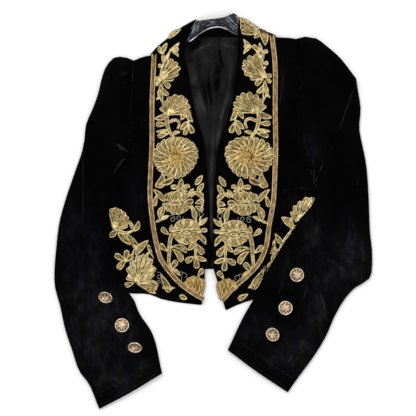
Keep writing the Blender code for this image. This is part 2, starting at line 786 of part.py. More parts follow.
def sleeve_layers(side, front, folds):
    """The under and the upper sleeve, puffed at the head and lying over the body's side."""
    if side < 0:
        armhole, outer, cuff, inner = LEFT_ARMHOLE, LEFT_SLEEVE_OUTER, LEFT_CUFF, LEFT_SLEEVE_INNER
    else:
        armhole, outer, cuff, inner = (RIGHT_ARMHOLE, RIGHT_SLEEVE_OUTER, RIGHT_CUFF,
                                       RIGHT_SLEEVE_INNER)
    seam = shifted(armhole, side * SEAM_GAP / 2)
    outer = (seam[0],) + outer[1:]
    inner = inner[:-1] + (seam[-1],)
    outline = Outline(seam, tuple(reversed(inner)), tuple(reversed(cuff)), tuple(reversed(outer)))
    folded_edges = Outline(tuple(reversed(inner)), tuple(reversed(outer)) + (armhole[0], armhole[-1]))
    outline.add_crossings(steps_beside((front,)))
    armpit = armhole[-1][1]
    head_foot = armhole[0][1] - 2 * HEAD_PUFF_LENGTH

    def base(x, y):
        share = 1 - soft_step((y - armpit) / ARMPIT_RISE)
        return share * resting_on((front,), x, y, SLEEVE_GAP) if share > 0 else 0.0

    def puff(x, y):
        length = soft_step((y - head_foot) / HEAD_PUFF_LENGTH)
        return HEAD_PUFF * length * quarter_round(outline.inside(x, y) / HEAD_PUFF_REACH)

    def under_top(x, y):
        return base(x, y) + SLEEVE_CLOTH + puff(x, y)

    def upper_under(x, y):
        hollow = SLEEVE_HOLLOW * swell(folded_edges.distance(x, y) / SLEEVE_EDGE_ROUND)
        return under_top(x, y) + SEAM_GAP + hollow

    def upper_top(x, y):
        return upper_under(x, y) + VELVET + folds_rise(folds, x, y)

    lines = []
    for inset in HEAD_CONTOURS:
        lines += runs(outline.around(-inset), lambda x, y: y > head_foot + HEAD_CONTOUR_FOOT)
    return Layer(outline, base, under_top), Layer(outline, upper_under, upper_top), lines


def collar_band(materials):
    """The band that stands at the back of the neck, folded over and down to the surface."""
    sections = []
    dense = []
    for row, following in zip(COLLAR_BAND, COLLAR_BAND[1:]):
        for share in (0.0, 0.5):
            dense.append([a + (b - a) * share for a, b in zip(row, following)])
    dense.append(list(COLLAR_BAND[-1]))
    for foot_x, foot_y, fold_x, fold_y, rise in dense:
        run = Vector((fold_x - foot_x, fold_y - foot_y))
        reach = run.length
        run.normalize()

        def at(distance, height, run=run, foot_x=foot_x, foot_y=foot_y):
            return (foot_x + run.x * distance, foot_y + run.y * distance, height)

        bend = BAND_FOOT + BAND_BEND_RISE * (rise - BAND_FOOT)
        sections.append([
            at(0.0, BAND_FOOT),
            at(0.0, BAND_FOOT + BAND_CLOTH),
            at(BAND_BEND * reach, bend + BAND_CLOTH),
            at(reach - FOLD_START * BAND_CLOTH, rise),
            at(reach - FOLD_END * BAND_CLOTH, rise),
            at(reach, rise - FOLD_DROP * BAND_CLOTH),
            at(reach - FALL_LEAN[0], FALL_MIDDLE * rise),
            at(reach - FALL_LEAN[1], 0.0),
            at(reach - FALL_LEAN[1] - BAND_CLOTH, 0.0),
            at(reach - 2 * BAND_CLOTH, rise - FOLD_START * BAND_CLOTH),
            at(BAND_BEND * reach, bend),
        ])
    return sewn_strip("collar_stand", sections, materials)


def braid(name, side, lapel, materials):
    """A flat braid with a cord along each edge, laid on the lapel."""
    edge = braid_edge(side, BRAID_STEP)
    sections = []
    lines = [beside(edge, -side * inset) for inset in BRAID_INSETS]
    for k in range(len(edge)):
        points = [line[k] for line in lines]
        if min(lapel.outline.inside(*point) for point in points) < BRAID_CLEARANCE:
            continue
        if edge[0][1] - points[0][1] < BRAID_TOP_INSET:
            continue
        ground = [lapel.top(x, y) + LAPEL_GAP for x, y in points]
        rises = (BRAID_CLOTH + BRAID_CORD, BRAID_CLOTH, BRAID_CLOTH, BRAID_CLOTH + BRAID_CORD)
        section = [(*points[0], ground[0]), (*points[-1], ground[-1])]
        section += [(x, y, z + rise) for (x, y), z, rise in zip(points, ground, rises)][::-1]
        sections.append(section)
    return sewn_strip(name, sections, materials)


def button(name, row, sleeve, materials):
    """A turned button with a rim, a domed face and a shank that stands on the sleeve."""
    x, y, tilt, towards = row
    lean = Matrix.Rotation(math.radians(tilt), 4, "X")
    turn = Matrix.Rotation(math.radians(towards), 4, "Z")
    height = 0.0
    for radius, z in BUTTON_PROFILE[1:5]:
        for k in range(BUTTON_SIDES):
            angle = math.tau * k / BUTTON_SIDES
            point = turn @ lean @ Vector((radius * math.cos(angle), radius * math.sin(angle), z))
            height = max(height, sleeve.top(x + point.x, y + point.y) - point.z + BUTTON_GAP)
    bm = bmesh.new()
    profile = [bm.verts.new((radius * MM, 0, z * MM)) for radius, z in BUTTON_PROFILE]
    edges = [bm.edges.new(pair) for pair in zip(profile, profile[1:])]
    bmesh.ops.spin(bm, geom=profile + edges, cent=(0, 0, 0), axis=(0, 0, 1), dvec=(0, 0, 0),
                   angle=math.tau, steps=BUTTON_SIDES, use_merge=True)
    bmesh.ops.remove_doubles(bm, verts=bm.verts, dist=MERGE_DISTANCE * MM)
    bmesh.ops.triangulate(bm, faces=bm.faces)
    made_object = add_object(name, bm, materials)
    made_object.matrix_world = Matrix.Translation(Vector((x, y, height)) * MM) @ turn @ lean
    return made_object


def main():
    for old in list(bpy.data.objects):
        bpy.data.objects.remove(old, do_unlink=True)

    velvet = material("black_velvet", (0.006, 0.006, 0.009), 0.85)
    lining = material("grey_lining", (0.030, 0.030, 0.034), 0.60)
    band = material("blue_grey_band", (0.070, 0.078, 0.092), 0.40)
    gold = material("straw_gold", (0.62, 0.47, 0.20), 0.42, 0.7)
    braid_gold = material("braid_gold", (0.46, 0.33, 0.16), 0.42, 0.7)
    button_metal = material("antique_gold", (0.52, 0.36, 0.26), 0.35, 1.0)

    lining_folds = [Fold(row) for row in LINING_FOLDS]
    back = back_layer()
    back_lining = lining_layer(lining_folds)
    facing = facing_layer()
    cloth_piece("back", back, (velvet,), BACK_STEP)
    shown_edge = [back_lining.outline.around(-UNDER_FRONTS)]
    cloth_piece("back_lining", back_lining, (lining,), LINING_STEP,
                shown_edge + folds_lines(lining_folds), LINING_UNDER_STEP, ())
    cloth_piece("neck_facing", facing, (velvet,), BACK_STEP)
    collar_band((band,))

    sides = (
        ("left", -1, LEFT_FRONT_FOLDS, LEFT_SLEEVE_FOLDS, LAPEL_GOLDWORK, LEFT_FRONT_GOLDWORK,
         LEFT_BUTTONS),
        ("right", 1, RIGHT_FRONT_FOLDS, RIGHT_SLEEVE_FOLDS, mirrored_goldwork(LAPEL_GOLDWORK),
         RIGHT_FRONT_GOLDWORK, RIGHT_BUTTONS),
    )
    for label, side, front_rows, sleeve_rows, lapel_rows, spray_rows, button_rows in sides:
        front_folds = [Fold(row) for row in front_rows]
        sleeve_folds = [Fold(row) for row in sleeve_rows]
        lapel_motifs = [Motif(*row) for row in lapel_rows]
        spray_motifs = [Motif(*row) for row in spray_rows]
        front = front_layer(side, back, front_folds)
        lapel_below = (front, back, facing)
        lapel = lapel_layer(side, lapel_below)
        under_sleeve, upper_sleeve, head_lines = sleeve_layers(side, front, sleeve_folds)

        past_hem = [run for line in steps_beside((back,), STEP_LEVEL, HEM_SLOPE)
                    for run in runs(line, lambda x, y: y < BACK_HEM_TOP)]
        covered = runs(upper_sleeve.outline.around(COVER_LINE),
                       lambda x, y: any(motif.reach(x, y) < MOTIF_REACH for motif in spray_motifs))
        cloth_piece("front_" + label, with_goldwork(front, spray_motifs, upper_sleeve.outline),
                    (velvet, gold), FRONT_STEP,
                    past_hem + covered + folds_lines(front_folds) + goldwork_lines(spray_motifs),
                    FRONT_UNDER_STEP, past_hem, spray_motifs)

        lapel_lines = past_hem + steps_beside(lapel_below, SHOULDER_LEVEL, SHOULDER_SLOPE)
        strip = braid_strip(side)
        cloth_piece("lapel_" + label, with_goldwork(lapel, lapel_motifs, strip),
                    (velvet, gold), LAPEL_STEP,
                    lapel_lines + [strip.around(COVER_LINE)] + goldwork_lines(lapel_motifs),
                    LAPEL_UNDER_STEP, lapel_lines, lapel_motifs)
        braid("braid_" + label, side, lapel, (braid_gold,))

        sleeve_lines = past_hem + steps_beside((front,)) + head_lines
        cloth_piece("sleeve_under_" + label, under_sleeve, (velvet,), SLEEVE_UNDER_STEP,
                    sleeve_lines)
        cloth_piece("sleeve_top_" + label, upper_sleeve, (velvet,), SLEEVE_STEP,
                    sleeve_lines + folds_lines(sleeve_folds), SLEEVE_UNDER_STEP, sleeve_lines)
        for number, row in enumerate(button_rows, 1):
            button("button_%s_%d" % (label, number), row, upper_sleeve, (button_metal,))


main()
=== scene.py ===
# %% [markdown]
# # A cropped evening blazer in velvet and goldwork
#
# The jacket lies on its back with both sleeves bent inward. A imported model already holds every
# piece of cloth as a plain solid in its right place. This lesson dresses those solids: fine
# velvet with its creases, the lining, the neck band, the raised gold flowers, the braid, the
# stitching and the cuff buttons. All sizes below are millimetres, because that is how cloth is
# measured, and MM turns them into Blender's metres at the last moment.

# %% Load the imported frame
import math
import random

import bmesh
import bpy
import numpy as np
from mathutils import Matrix, Vector, geometry, noise
from mathutils.bvhtree import BVHTree


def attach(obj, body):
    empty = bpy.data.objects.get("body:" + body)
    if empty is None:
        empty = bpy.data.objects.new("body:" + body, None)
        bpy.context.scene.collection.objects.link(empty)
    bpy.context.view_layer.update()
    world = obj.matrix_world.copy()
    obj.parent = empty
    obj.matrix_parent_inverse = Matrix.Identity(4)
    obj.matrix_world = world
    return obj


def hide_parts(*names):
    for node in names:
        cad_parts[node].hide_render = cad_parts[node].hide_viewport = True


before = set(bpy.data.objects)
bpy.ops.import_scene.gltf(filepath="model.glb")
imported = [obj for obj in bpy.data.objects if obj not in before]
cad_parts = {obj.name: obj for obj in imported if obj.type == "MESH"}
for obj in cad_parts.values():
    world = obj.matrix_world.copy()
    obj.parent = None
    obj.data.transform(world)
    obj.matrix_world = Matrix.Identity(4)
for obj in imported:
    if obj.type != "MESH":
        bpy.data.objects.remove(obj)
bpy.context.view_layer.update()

MM = 0.001

# %% [markdown]
# ## The camera
#
# The jacket is seen from straight above and from far away, so that nothing leans. One pixel of
# a square picture with 416 pixels a side covers 1.8 mm. A long lens does that: its focal length
# is to the sensor's width as the eye's height is to the width of the view.

# %% Place the camera
PICTURE_SIDE = 416
MM_PER_PIXEL = 1.8
VIEW_CENTRE = (-9.45, 5.67)
EYE_HEIGHT = 6000.0
FARTHEST = 100000.0
SENSOR = 36.0

camera_data = bpy.data.cameras.new("camera")
camera_data.sensor_width = SENSOR
camera_data.lens = SENSOR * EYE_HEIGHT / (PICTURE_SIDE * MM_PER_PIXEL)
camera_data.clip_end = FARTHEST * MM
camera = bpy.data.objects.new("camera", camera_data)
camera.location = Vector((VIEW_CENTRE[0], VIEW_CENTRE[1], EYE_HEIGHT)) * MM
bpy.context.scene.collection.objects.link(camera)
bpy.context.scene.camera = camera
print("lens:", round(camera_data.lens), "mm")

# %% [markdown]
# ## The floor
#
# A plain pale floor, a hair below the cloth, catches the jacket's soft shadow. Its material is
# the first one, so the helper that makes a material from plain values is defined here.

# %% Lay the floor
FLOOR_SIDE = 9000.0
FLOOR_DROP = 0.3
FLOOR_COLOUR = (0.93, 0.93, 0.93)
FLOOR_ROUGHNESS = 0.9


def principled(name, colour, roughness, **sockets):
    """A new material whose shader has these plain values."""
    made = bpy.data.materials.new(name)
    made.use_nodes = True
    shader = made.node_tree.nodes["Principled BSDF"]
    shader.inputs["Base Color"].default_value = (*colour, 1.0)
    shader.inputs["Roughness"].default_value = roughness
    for socket, value in sockets.items():
        wanted = (*value, 1.0) if isinstance(value, tuple) else value
        shader.inputs[socket.replace("_", " ").title().replace("Ior", "IOR")].default_value = wanted
    return made


floor_mesh = bpy.data.meshes.new("floor")
bm = bmesh.new()
bmesh.ops.create_grid(bm, x_segments=1, y_segments=1, size=FLOOR_SIDE / 2 * MM)
bmesh.ops.translate(bm, verts=bm.verts, vec=(0, 0, -FLOOR_DROP * MM))
bm.to_mesh(floor_mesh)
bm.free()
floor_mesh.materials.append(principled("pale_floor", FLOOR_COLOUR, FLOOR_ROUGHNESS))
floor = bpy.data.objects.new("floor", floor_mesh)
bpy.context.scene.collection.objects.link(floor)
print("floor:", FLOOR_SIDE * MM, "m wide")

# %% [markdown]
# ## The light
#
# Black velvet needs care: too little light and it is a hole, too much and it turns grey. An even
# pale world lights it from all round, as in a light tent. One broad lamp from the collar's side
# then gives the gold cords a bright flank and a dark one, which is what makes them look like
# cords, and a weaker one opposite keeps the dark flank from going black.

# %% Set up the light tent and the lamps
WORLD_STRENGTH = 0.82
# A lamp is a name, a place, the side of its square and its power in watts
LAMPS = (
    ("key", (-700, 1300, 1900), 1100, 20.0),
    ("fill", (1300, -700, 1800), 1600, 6.0),
)

world = bpy.data.worlds.new("light_tent")
world.use_nodes = True
world.node_tree.nodes["Background"].inputs["Strength"].default_value = WORLD_STRENGTH
world.node_tree.nodes["Background"].inputs["Color"].default_value = (1, 1, 1, 1)
bpy.context.scene.world = world
for name, place, side, power in LAMPS:
    lamp_data = bpy.data.lights.new(name, "AREA")
    lamp_data.size = side * MM
    lamp_data.energy = power
    lamp = bpy.data.objects.new(name, lamp_data)
    lamp.location = Vector(place) * MM
    lamp.rotation_mode = "QUATERNION"
    lamp.rotation_quaternion = (-lamp.location).to_track_quat("-Z", "Y")
    bpy.context.scene.collection.objects.link(lamp)
bpy.context.scene.view_settings.view_transform = "Standard"
print("lamps:", len(LAMPS))

# %% [markdown]
# ## Smooth paths
#
# Nearly everything on a jacket follows a line: seams, folds, braid, stems. So this helper turns
# a few given points into a smooth path with even steps. Between two points the line is
# a cubic that leaves and arrives in the direction of their neighbours.

# %% A path through a few points
DENSE = 40


def smooth_path(points, step):
    """Points an even step apart on a smooth line through the given points."""
    knots = [Vector((x, y)) for x, y in points]
    ends = [2 * knots[0] - knots[1]] + knots + [2 * knots[-1] - knots[-2]]
    dense = []
    for a, b, c, d in zip(ends, ends[1:], ends[2:], ends[3:]):
        for k in range(DENSE):
            t = k / DENSE
            dense.append((2 * b + (c - a) * t + (2 * a - 5 * b + 4 * c - d) * t ** 2
                          + (3 * b - a - 3 * c + d) * t ** 3) / 2)
    dense.append(knots[-1])
    reach = [0.0]
    for a, b in zip(dense, dense[1:]):
        reach.append(reach[-1] + (b - a).length)
    count = max(2, round(reach[-1] / step))
    wanted = [reach[-1] * k / count for k in range(count + 1)]
    xs = np.interp(wanted, reach, [p.x for p in dense])
    ys = np.interp(wanted, reach, [p.y for p in dense])
    return [Vector((x, y)) for x, y in zip(xs, ys)]


print("a path of 60 mm in steps of 5 mm has", len(smooth_path(((0, 0), (60, 0)), 5)), "points")

# %% [markdown]
# ## Creases
#
# A crease is a soft ridge or trough along a path, steeper on one side, fading at its ends and
# never quite even. All that it needs is how far each point of the cloth lies from the path, and
# how far along. NumPy works that out for thousands of points at once.

# %% How far creases lift the cloth
CREASE_STEP = 5.0
STEEP_SIDE = 0.6
FAR = 1e9
# Two waves along a crease make it uneven: how strong and how quick
SLOW_WAVE = (0.3, 7)
QUICK_WAVE = (0.15, 17)


def along_and_across(path, points):
    """For an array of points: the share along the path and the signed distance across it."""
    best = np.full(len(points), FAR)
    share = np.zeros(len(points))
    across = np.zeros(len(points))
    for k, (a, b) in enumerate(zip(path, path[1:])):
        run = np.array(b - a)
        square = float(run @ run)
        off = points - np.array(a)
        t = np.clip(off @ run / square, 0, 1)
        miss = off - t[:, None] * run
        gap = np.hypot(miss[:, 0], miss[:, 1])
        side = np.sign(run[0] * off[:, 1] - run[1] * off[:, 0])
        closer = gap < best
        best = np.where(closer, gap, best)
        share = np.where(closer, (k + t) / (len(path) - 1), share)
        across = np.where(closer, gap * side, across)
    return share, across


def crease_heights(creases, points):
    """How far the creases lift an array of points; a row is height, width and its path."""
    lifted = np.zeros(len(points))
    for number, (height, width, *route) in enumerate(creases):
        share, across = along_and_across(smooth_path(route, CREASE_STEP), points)
        widths = np.where(across > 0, width * STEEP_SIDE, width)
        fade = np.sqrt(np.clip(np.sin(math.pi * share), 0, 1))
        slow = SLOW_WAVE[0] * np.sin(SLOW_WAVE[1] * share + number)
        quick = QUICK_WAVE[0] * np.sin(QUICK_WAVE[1] * share + 2 * number)
        lifted += height * fade * (1 + slow + quick) * np.exp(-(across / widths) ** 2)
    return lifted


print("a crease 1 mm high lifts its own middle by",
      round(float(crease_heights([(1.0, 6.0, (0, 0), (60, 0))], np.array([[30.0, 0.0]]))[0]), 2), "mm")

# %% [markdown]
# ## From a mesh to a finished piece
#
# Every piece below ends in the same way: it gets its materials and smooth shading, with sharp
# edges only where it turns hard, then an object at the origin, which rides on the jacket and
# stands in for the solids that it dresses.

# %% Finish a piece
SHARP_ANGLE = 50.0


def dressed(name, mesh, materials, nodes=(), angle=SHARP_ANGLE):
    """Make an object of a mesh in metres, ride it on the jacket and let it replace its solids."""
    for made in materials:
        mesh.materials.append(made)
    mesh.shade_smooth()
    mesh.set_sharp_from_angle(angle=math.radians(angle))
    piece = bpy.data.objects.new(name, mesh)
    bpy.context.scene.collection.objects.link(piece)
    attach(piece, "root")
    if nodes:
        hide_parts(*nodes)
    print(name + ":", len(mesh.polygons), "faces")
    return piece


def finished_piece(name, bm, materials, nodes=()):
    """The same, from a bmesh that is done with."""
    mesh = bpy.data.meshes.new(name)
    bm.to_mesh(mesh)
    bm.free()
    return dressed(name, mesh, materials, nodes)


print("edges are sharp above", SHARP_ANGLE, "degrees")

# %% [markdown]
# ## Reading a solid
#
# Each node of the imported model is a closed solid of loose, fairly large triangles: right in
# place and outline, but too stiff to crease. Its outline is the loop of edges between its upper
# skin and its walls. A ray sent down on the skin gives the height of any point of it. The node
# itself is left alone: a copy is merged, read and thrown away.

# %% Find a solid's outline and skins
WELD = 0.02
FLAT_SHARE = 0.1


def tree_of(faces):
    """A search tree over some triangles of a bmesh, for rays."""
    corners = [[v.co.copy() for v in face.verts] for face in faces]
    points = [point for corner in corners for point in corner]
    return BVHTree.FromPolygons(points, [(3 * k, 3 * k + 1, 3 * k + 2) for k in range(len(corners))])


def longest_loop(follows):
    """The longest closed line among corners that each know their follower."""
    loops = []
    while follows:
        loop = [next(iter(follows))]
        while loop[-1] in follows:
            loop.append(follows.pop(loop[-1]))
        loops.append([vertex.co.copy() for vertex in loop[:-1]])
    return max(loops, key=lambda loop: sum((a - b).length for a, b in zip(loop, loop[1:])))


def solid_skins(node):
    """The outline of a solid's upper skin, and search trees over its upper and under skin."""
    bm = bmesh.new()
    bm.from_mesh(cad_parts[node].data)
    bmesh.ops.remove_doubles(bm, verts=bm.verts, dist=WELD * MM)
    bm.normal_update()
    upper = [face for face in bm.faces if face.normal.z > FLAT_SHARE]
    under = [face for face in bm.faces if face.normal.z < -FLAT_SHARE]
    chosen = set(upper)
    follows = {}
    for face in upper:
        for loop in face.loops:
            if any(other not in chosen for other in loop.edge.link_faces):
                follows[loop.vert] = loop.link_loop_next.vert
    outline = longest_loop(follows)
    trees = tree_of(upper), tree_of(under)
    bm.free()
    return outline, *trees


print("the back's outline has", len(solid_skins("back")[0]), "corners")

# %% [markdown]
# ## An even sheet
#
# Cloth bends anywhere, so its mesh needs triangles that are small and even. Points go round the
# outline and in staggered rows inside it, and a Delaunay triangulation joins them. Some pieces
# lie on a puffed one, so they are measured up from their under skin instead of down from their
# upper one, which keeps their thickness true.

# %% Even triangles inside an outline
RIM_CLEARANCE = 0.62
ROW_HEIGHT = 0.866
JOIN_DISTANCE = 1e-7
INSIDE_ONLY = 1
HIGH = 1000.0
UP = Vector((0, 0, 1))


def turn_faces_up(bm):
    if sum(face.normal.z for face in bm.faces) < 0:
        bmesh.ops.reverse_faces(bm, faces=bm.faces)


def even_sheet(outline, skins, wall, step):
    """Even triangles inside an outline, at the upper skin or, given a wall, over the under one."""
    upper, under = skins
    step = step * MM
    rim = []
    for a, b in zip(outline, outline[1:] + outline[:1]):
        count = max(1, math.ceil((b - a).length / step))
        rim += [a.lerp(b, k / count) for k in range(count)]
    flat_rim = np.array([point.xy for point in rim])
    low = flat_rim.min(axis=0)
    high = flat_rim.max(axis=0)
    points = [point.xy for point in rim]
    heights = [point.z for point in rim]
    for row in range(int((high[1] - low[1]) / (step * ROW_HEIGHT)) + 1):
        y = low[1] + row * step * ROW_HEIGHT
        for column in range(int((high[0] - low[0]) / step) + 1):
            x = low[0] + (column + 0.5 * (row % 2)) * step
            hit = upper.ray_cast(Vector((x, y, HIGH * MM)), -UP)[0]
            if hit is None:
                continue
            if np.hypot(flat_rim[:, 0] - x, flat_rim[:, 1] - y).min() < RIM_CLEARANCE * step:
                continue
            if wall:
                below = under.ray_cast(Vector((x, y, -HIGH * MM)), UP)[0]
                if below is None:
                    continue
                hit = below + wall * MM * UP
            points.append(Vector((x, y)))
            heights.append(hit.z)
    border = [(k, (k + 1) % len(rim)) for k in range(len(rim))]
    found = geometry.delaunay_2d_cdt(points, border, [], INSIDE_ONLY, JOIN_DISTANCE)
    bm = bmesh.new()
    vertices = []
    for place, sources in zip(found[0], found[3]):
        vertices.append(bm.verts.new((place.x, place.y, heights[sources[0]] if sources else 0)))
    for face in found[2]:
        bm.faces.new([vertices[k] for k in face])
    if wall:
        for vertex in bm.verts:
            if vertex.is_boundary:
                below = under.find_nearest(vertex.co - wall * MM * UP)[0]
                vertex.co.z = below.z + wall * MM
    bmesh.ops.recalc_face_normals(bm, faces=bm.faces)
    turn_faces_up(bm)
    return bm


print("rows lie", ROW_HEIGHT, "of a step apart")

# %% [markdown]
# ## Creasing the sheet
#
# The creases lift the sheet everywhere but at its outline, and so does a soft ripple, since no
# cloth lies quite flat. How much a point was lifted stays with it as an attribute, and so does the
# strength of the patch it lies in. From the first the shaders paint highlights on crease tops,
# and on the lining painted shade in the troughs too. From the second they paint a sheen on worn
# pile, and on the lining painted shade.

# %% Lift the sheet by its creases
BROAD_WAVES = (34, 46)
SMALL_WAVES = (11, 15)
SMALL_SHARE = 0.4
SMALL_SEED = 5
STRONGEST_PATCH = 1.2


def crease_cloth(bm, creases, ripple, seed, wear_light_patches):
    """Lift the sheet by its creases and a ripple; store its lift and patch strength for painted light."""
    relief_and_light = bm.verts.layers.float.new("relief_and_light")
    wear_and_light = bm.verts.layers.float.new("wear_and_light")
    inner = [vertex for vertex in bm.verts if not vertex.is_boundary]
    flat = np.array([vertex.co.xy for vertex in inner]) / MM
    lift = crease_heights(creases, flat)
    patches = sum((share * np.exp(-((flat[:, 0] - x) / wide) ** 2 - ((flat[:, 1] - y) / long) ** 2)
                   for x, y, wide, long, share in wear_light_patches), np.zeros(len(flat)))
    for vertex, (x, y), height, patch in zip(inner, flat, lift, patches):
        broad = noise.noise(Vector((x / BROAD_WAVES[0], y / BROAD_WAVES[1], seed)))
        small = noise.noise(Vector((x / SMALL_WAVES[0], y / SMALL_WAVES[1], seed + SMALL_SEED)))
        vertex[relief_and_light] = height
        vertex[wear_and_light] = min(STRONGEST_PATCH, patch)
        vertex.co.z += (height + ripple * (broad + SMALL_SHARE * small)) * MM


print("broad ripples are", BROAD_WAVES, "mm long")

# %% [markdown]
# ## Cloth with a turned edge
#
# Smoothing takes the solid's facets out of the sheet. A small inset whose rim is lowered rounds
# the edge, as a turned and pressed edge is round. An extrusion straight down gives the cloth its
# wall, and nothing may go below the floor.

# %% The dressed sheet of a solid
SMOOTHINGS = 14
EDGE_INSET = 0.9
EDGE_DROP = 0.6


def give_wall(bm, wall):
    """Close an open sheet with a copy of itself below it; returns the lowered vertices."""
    made = bmesh.ops.extrude_face_region(bm, geom=bm.faces[:], use_keep_orig=True)["geom"]
    lowered = [item for item in made if isinstance(item, bmesh.types.BMVert)]
    bmesh.ops.translate(bm, verts=lowered, vec=-wall * MM * UP)
    return lowered


def cloth_from(node, creases, over_under, wall, ripple, seed, step, wear_light_patches=()):
    """The dressed sheet of a node, a closed wall of cloth."""
    outline, *skins = solid_skins(node)
    bm = even_sheet(outline, skins, wall if over_under else 0, step)
    inner = [vertex for vertex in bm.verts if not vertex.is_boundary]
    for _ in range(SMOOTHINGS):
        bmesh.ops.smooth_vert(bm, verts=inner, factor=0.5, use_axis_x=True, use_axis_y=True,
                              use_axis_z=True)
    rim = [vertex for vertex in bm.verts if vertex.is_boundary]
    bmesh.ops.inset_region(bm, faces=bm.faces[:], thickness=EDGE_INSET * MM, use_boundary=True,
                           use_even_offset=True)
    for vertex in rim:
        vertex.co.z -= EDGE_DROP * MM
    crease_cloth(bm, creases, ripple, seed, wear_light_patches)
    for vertex in give_wall(bm, wall):
        vertex.co.z = max(0.0, vertex.co.z)
    bmesh.ops.recalc_face_normals(bm, faces=bm.faces)
    return bm


def height_reader(piece):
    """A function that tells the height of a piece's upper surface in millimetres."""
    mesh = piece.data
    tree = BVHTree.FromPolygons([v.co.copy() for v in mesh.vertices],
                                [tuple(p.vertices) for p in mesh.polygons])

    def height(x, y, miss=0.0):
        hit = tree.ray_cast(Vector((x, y, HIGH)) * MM, -UP)[0]
        return hit.z / MM if hit else miss

    return height


print("an edge is rounded over", EDGE_INSET, "mm")

# %% [markdown]
# ## Joining shader nodes
#
# A finish here is a few patterns laid over each other: noise on the piece's own coordinates,
# turned into colours by a ramp, added or multiplied, and used once more as bump. Each of these
# is a node, so small helpers add a node, join two of them, and name what they do.

# %% Helpers for patterns
def node(made, kind, **values):
    """Add a node to a material and set its inputs by name."""
    added = made.node_tree.nodes.new(kind)
    for name, value in values.items():
        added.inputs[name.replace("_", " ").title()].default_value = value
    return added


def wire(made, source, output, target, entry):
    made.node_tree.links.new(source.outputs[output], target.inputs[entry])


def object_noise(made, scale, detail=2.0, stretch=(1, 1, 1), turn=0.0):
    """Noise on the piece's own coordinates, in bumps for each metre."""
    place = node(made, "ShaderNodeTexCoord")
    mapping = node(made, "ShaderNodeMapping")
    mapping.inputs["Scale"].default_value = stretch
    mapping.inputs["Rotation"].default_value = (0, 0, math.radians(turn))
    pattern = node(made, "ShaderNodeTexNoise", Scale=scale, Detail=detail)
    wire(made, place, "Object", mapping, "Vector")
    wire(made, mapping, "Vector", pattern, "Vector")
    return pattern


def ramp(made, source, output, stops):
    """A colour ramp; a stop is a place from 0 to 1 and a grey value or a colour."""
    added = made.node_tree.nodes.new("ShaderNodeValToRGB")
    band = added.color_ramp
    for number, (place, value) in enumerate(stops):
        stop = band.elements[number] if number < 2 else band.elements.new(place)
        stop.position = place
        stop.color = (*value, 1) if isinstance(value, tuple) else (value, value, value, 1)
    wire(made, source, output, added, "Fac")
    return added


def measured(made, source, output, low, high, stops):
    """A colour ramp over a value that runs from low to high."""
    share = node(made, "ShaderNodeMapRange", From_Min=low, From_Max=high)
    wire(made, source, output, share, "Value")
    return ramp(made, share, "Result", stops)


def attribute_light(made, attribute, low, high, stops):
    """A colour that follows an attribute of the mesh."""
    stored = node(made, "ShaderNodeAttribute")
    stored.attribute_name = attribute
    return measured(made, stored, "Fac", low, high, stops)


print("helpers for patterns are ready")

# %% [markdown]
# ## Colour and relief
#
# The end of each chain of patterns is the shader's base colour or its normal. Many finishes,
# old metal above all, are one noise that runs from a dark tone to a light one and also makes a
# slight relief, so a helper makes such a mottled finish in one go.

# %% Helpers that colour and roughen
def blend(made, kind, first, second):
    """Add or multiply two colours."""
    both = node(made, "ShaderNodeMixRGB", Fac=1.0)
    both.blend_type = kind
    wire(made, first, "Color", both, "Color1")
    wire(made, second, "Color", both, "Color2")
    return both


def paint(made, colour):
    """Let a colour node set the base colour."""
    wire(made, colour, "Color", made.node_tree.nodes["Principled BSDF"], "Base Color")


def bump(made, sources, distance):
    """Add bump from one or several patterns, each with its own weight."""
    before = None
    for pattern, weight in sources:
        relief = node(made, "ShaderNodeBump", Strength=weight, Distance=distance * MM)
        wire(made, pattern, "Fac", relief, "Height")
        if before:
            wire(made, before, "Normal", relief, "Normal")
        before = relief
    wire(made, before, "Normal", made.node_tree.nodes["Principled BSDF"], "Normal")


def mottled(made, scale, detail, *stops):
    """Colour a material by one noise; returns the noise."""
    pattern = object_noise(made, scale, detail)
    paint(made, ramp(made, pattern, "Fac", stops))
    return pattern


BLACK = (0.0, 0.0, 0.0)
print("helpers for colour and relief are ready")

# %% [markdown]
# ## Velvet
#
# Silk-like velvet is nearly black when one looks down into its pile and shows a cool, soft shine
# where the pile leans. A shader does that with a very dark base, almost no direct reflection and
# some sheen. Where wear crushed the pile, a painted sheen in the base colour makes it shine more,
# in small uneven patches: a fine stretched noise makes them, and an attribute of the mesh says
# where. Another attribute says how far a crease lifts the cloth, and the top of a crease gets a
# painted highlight.

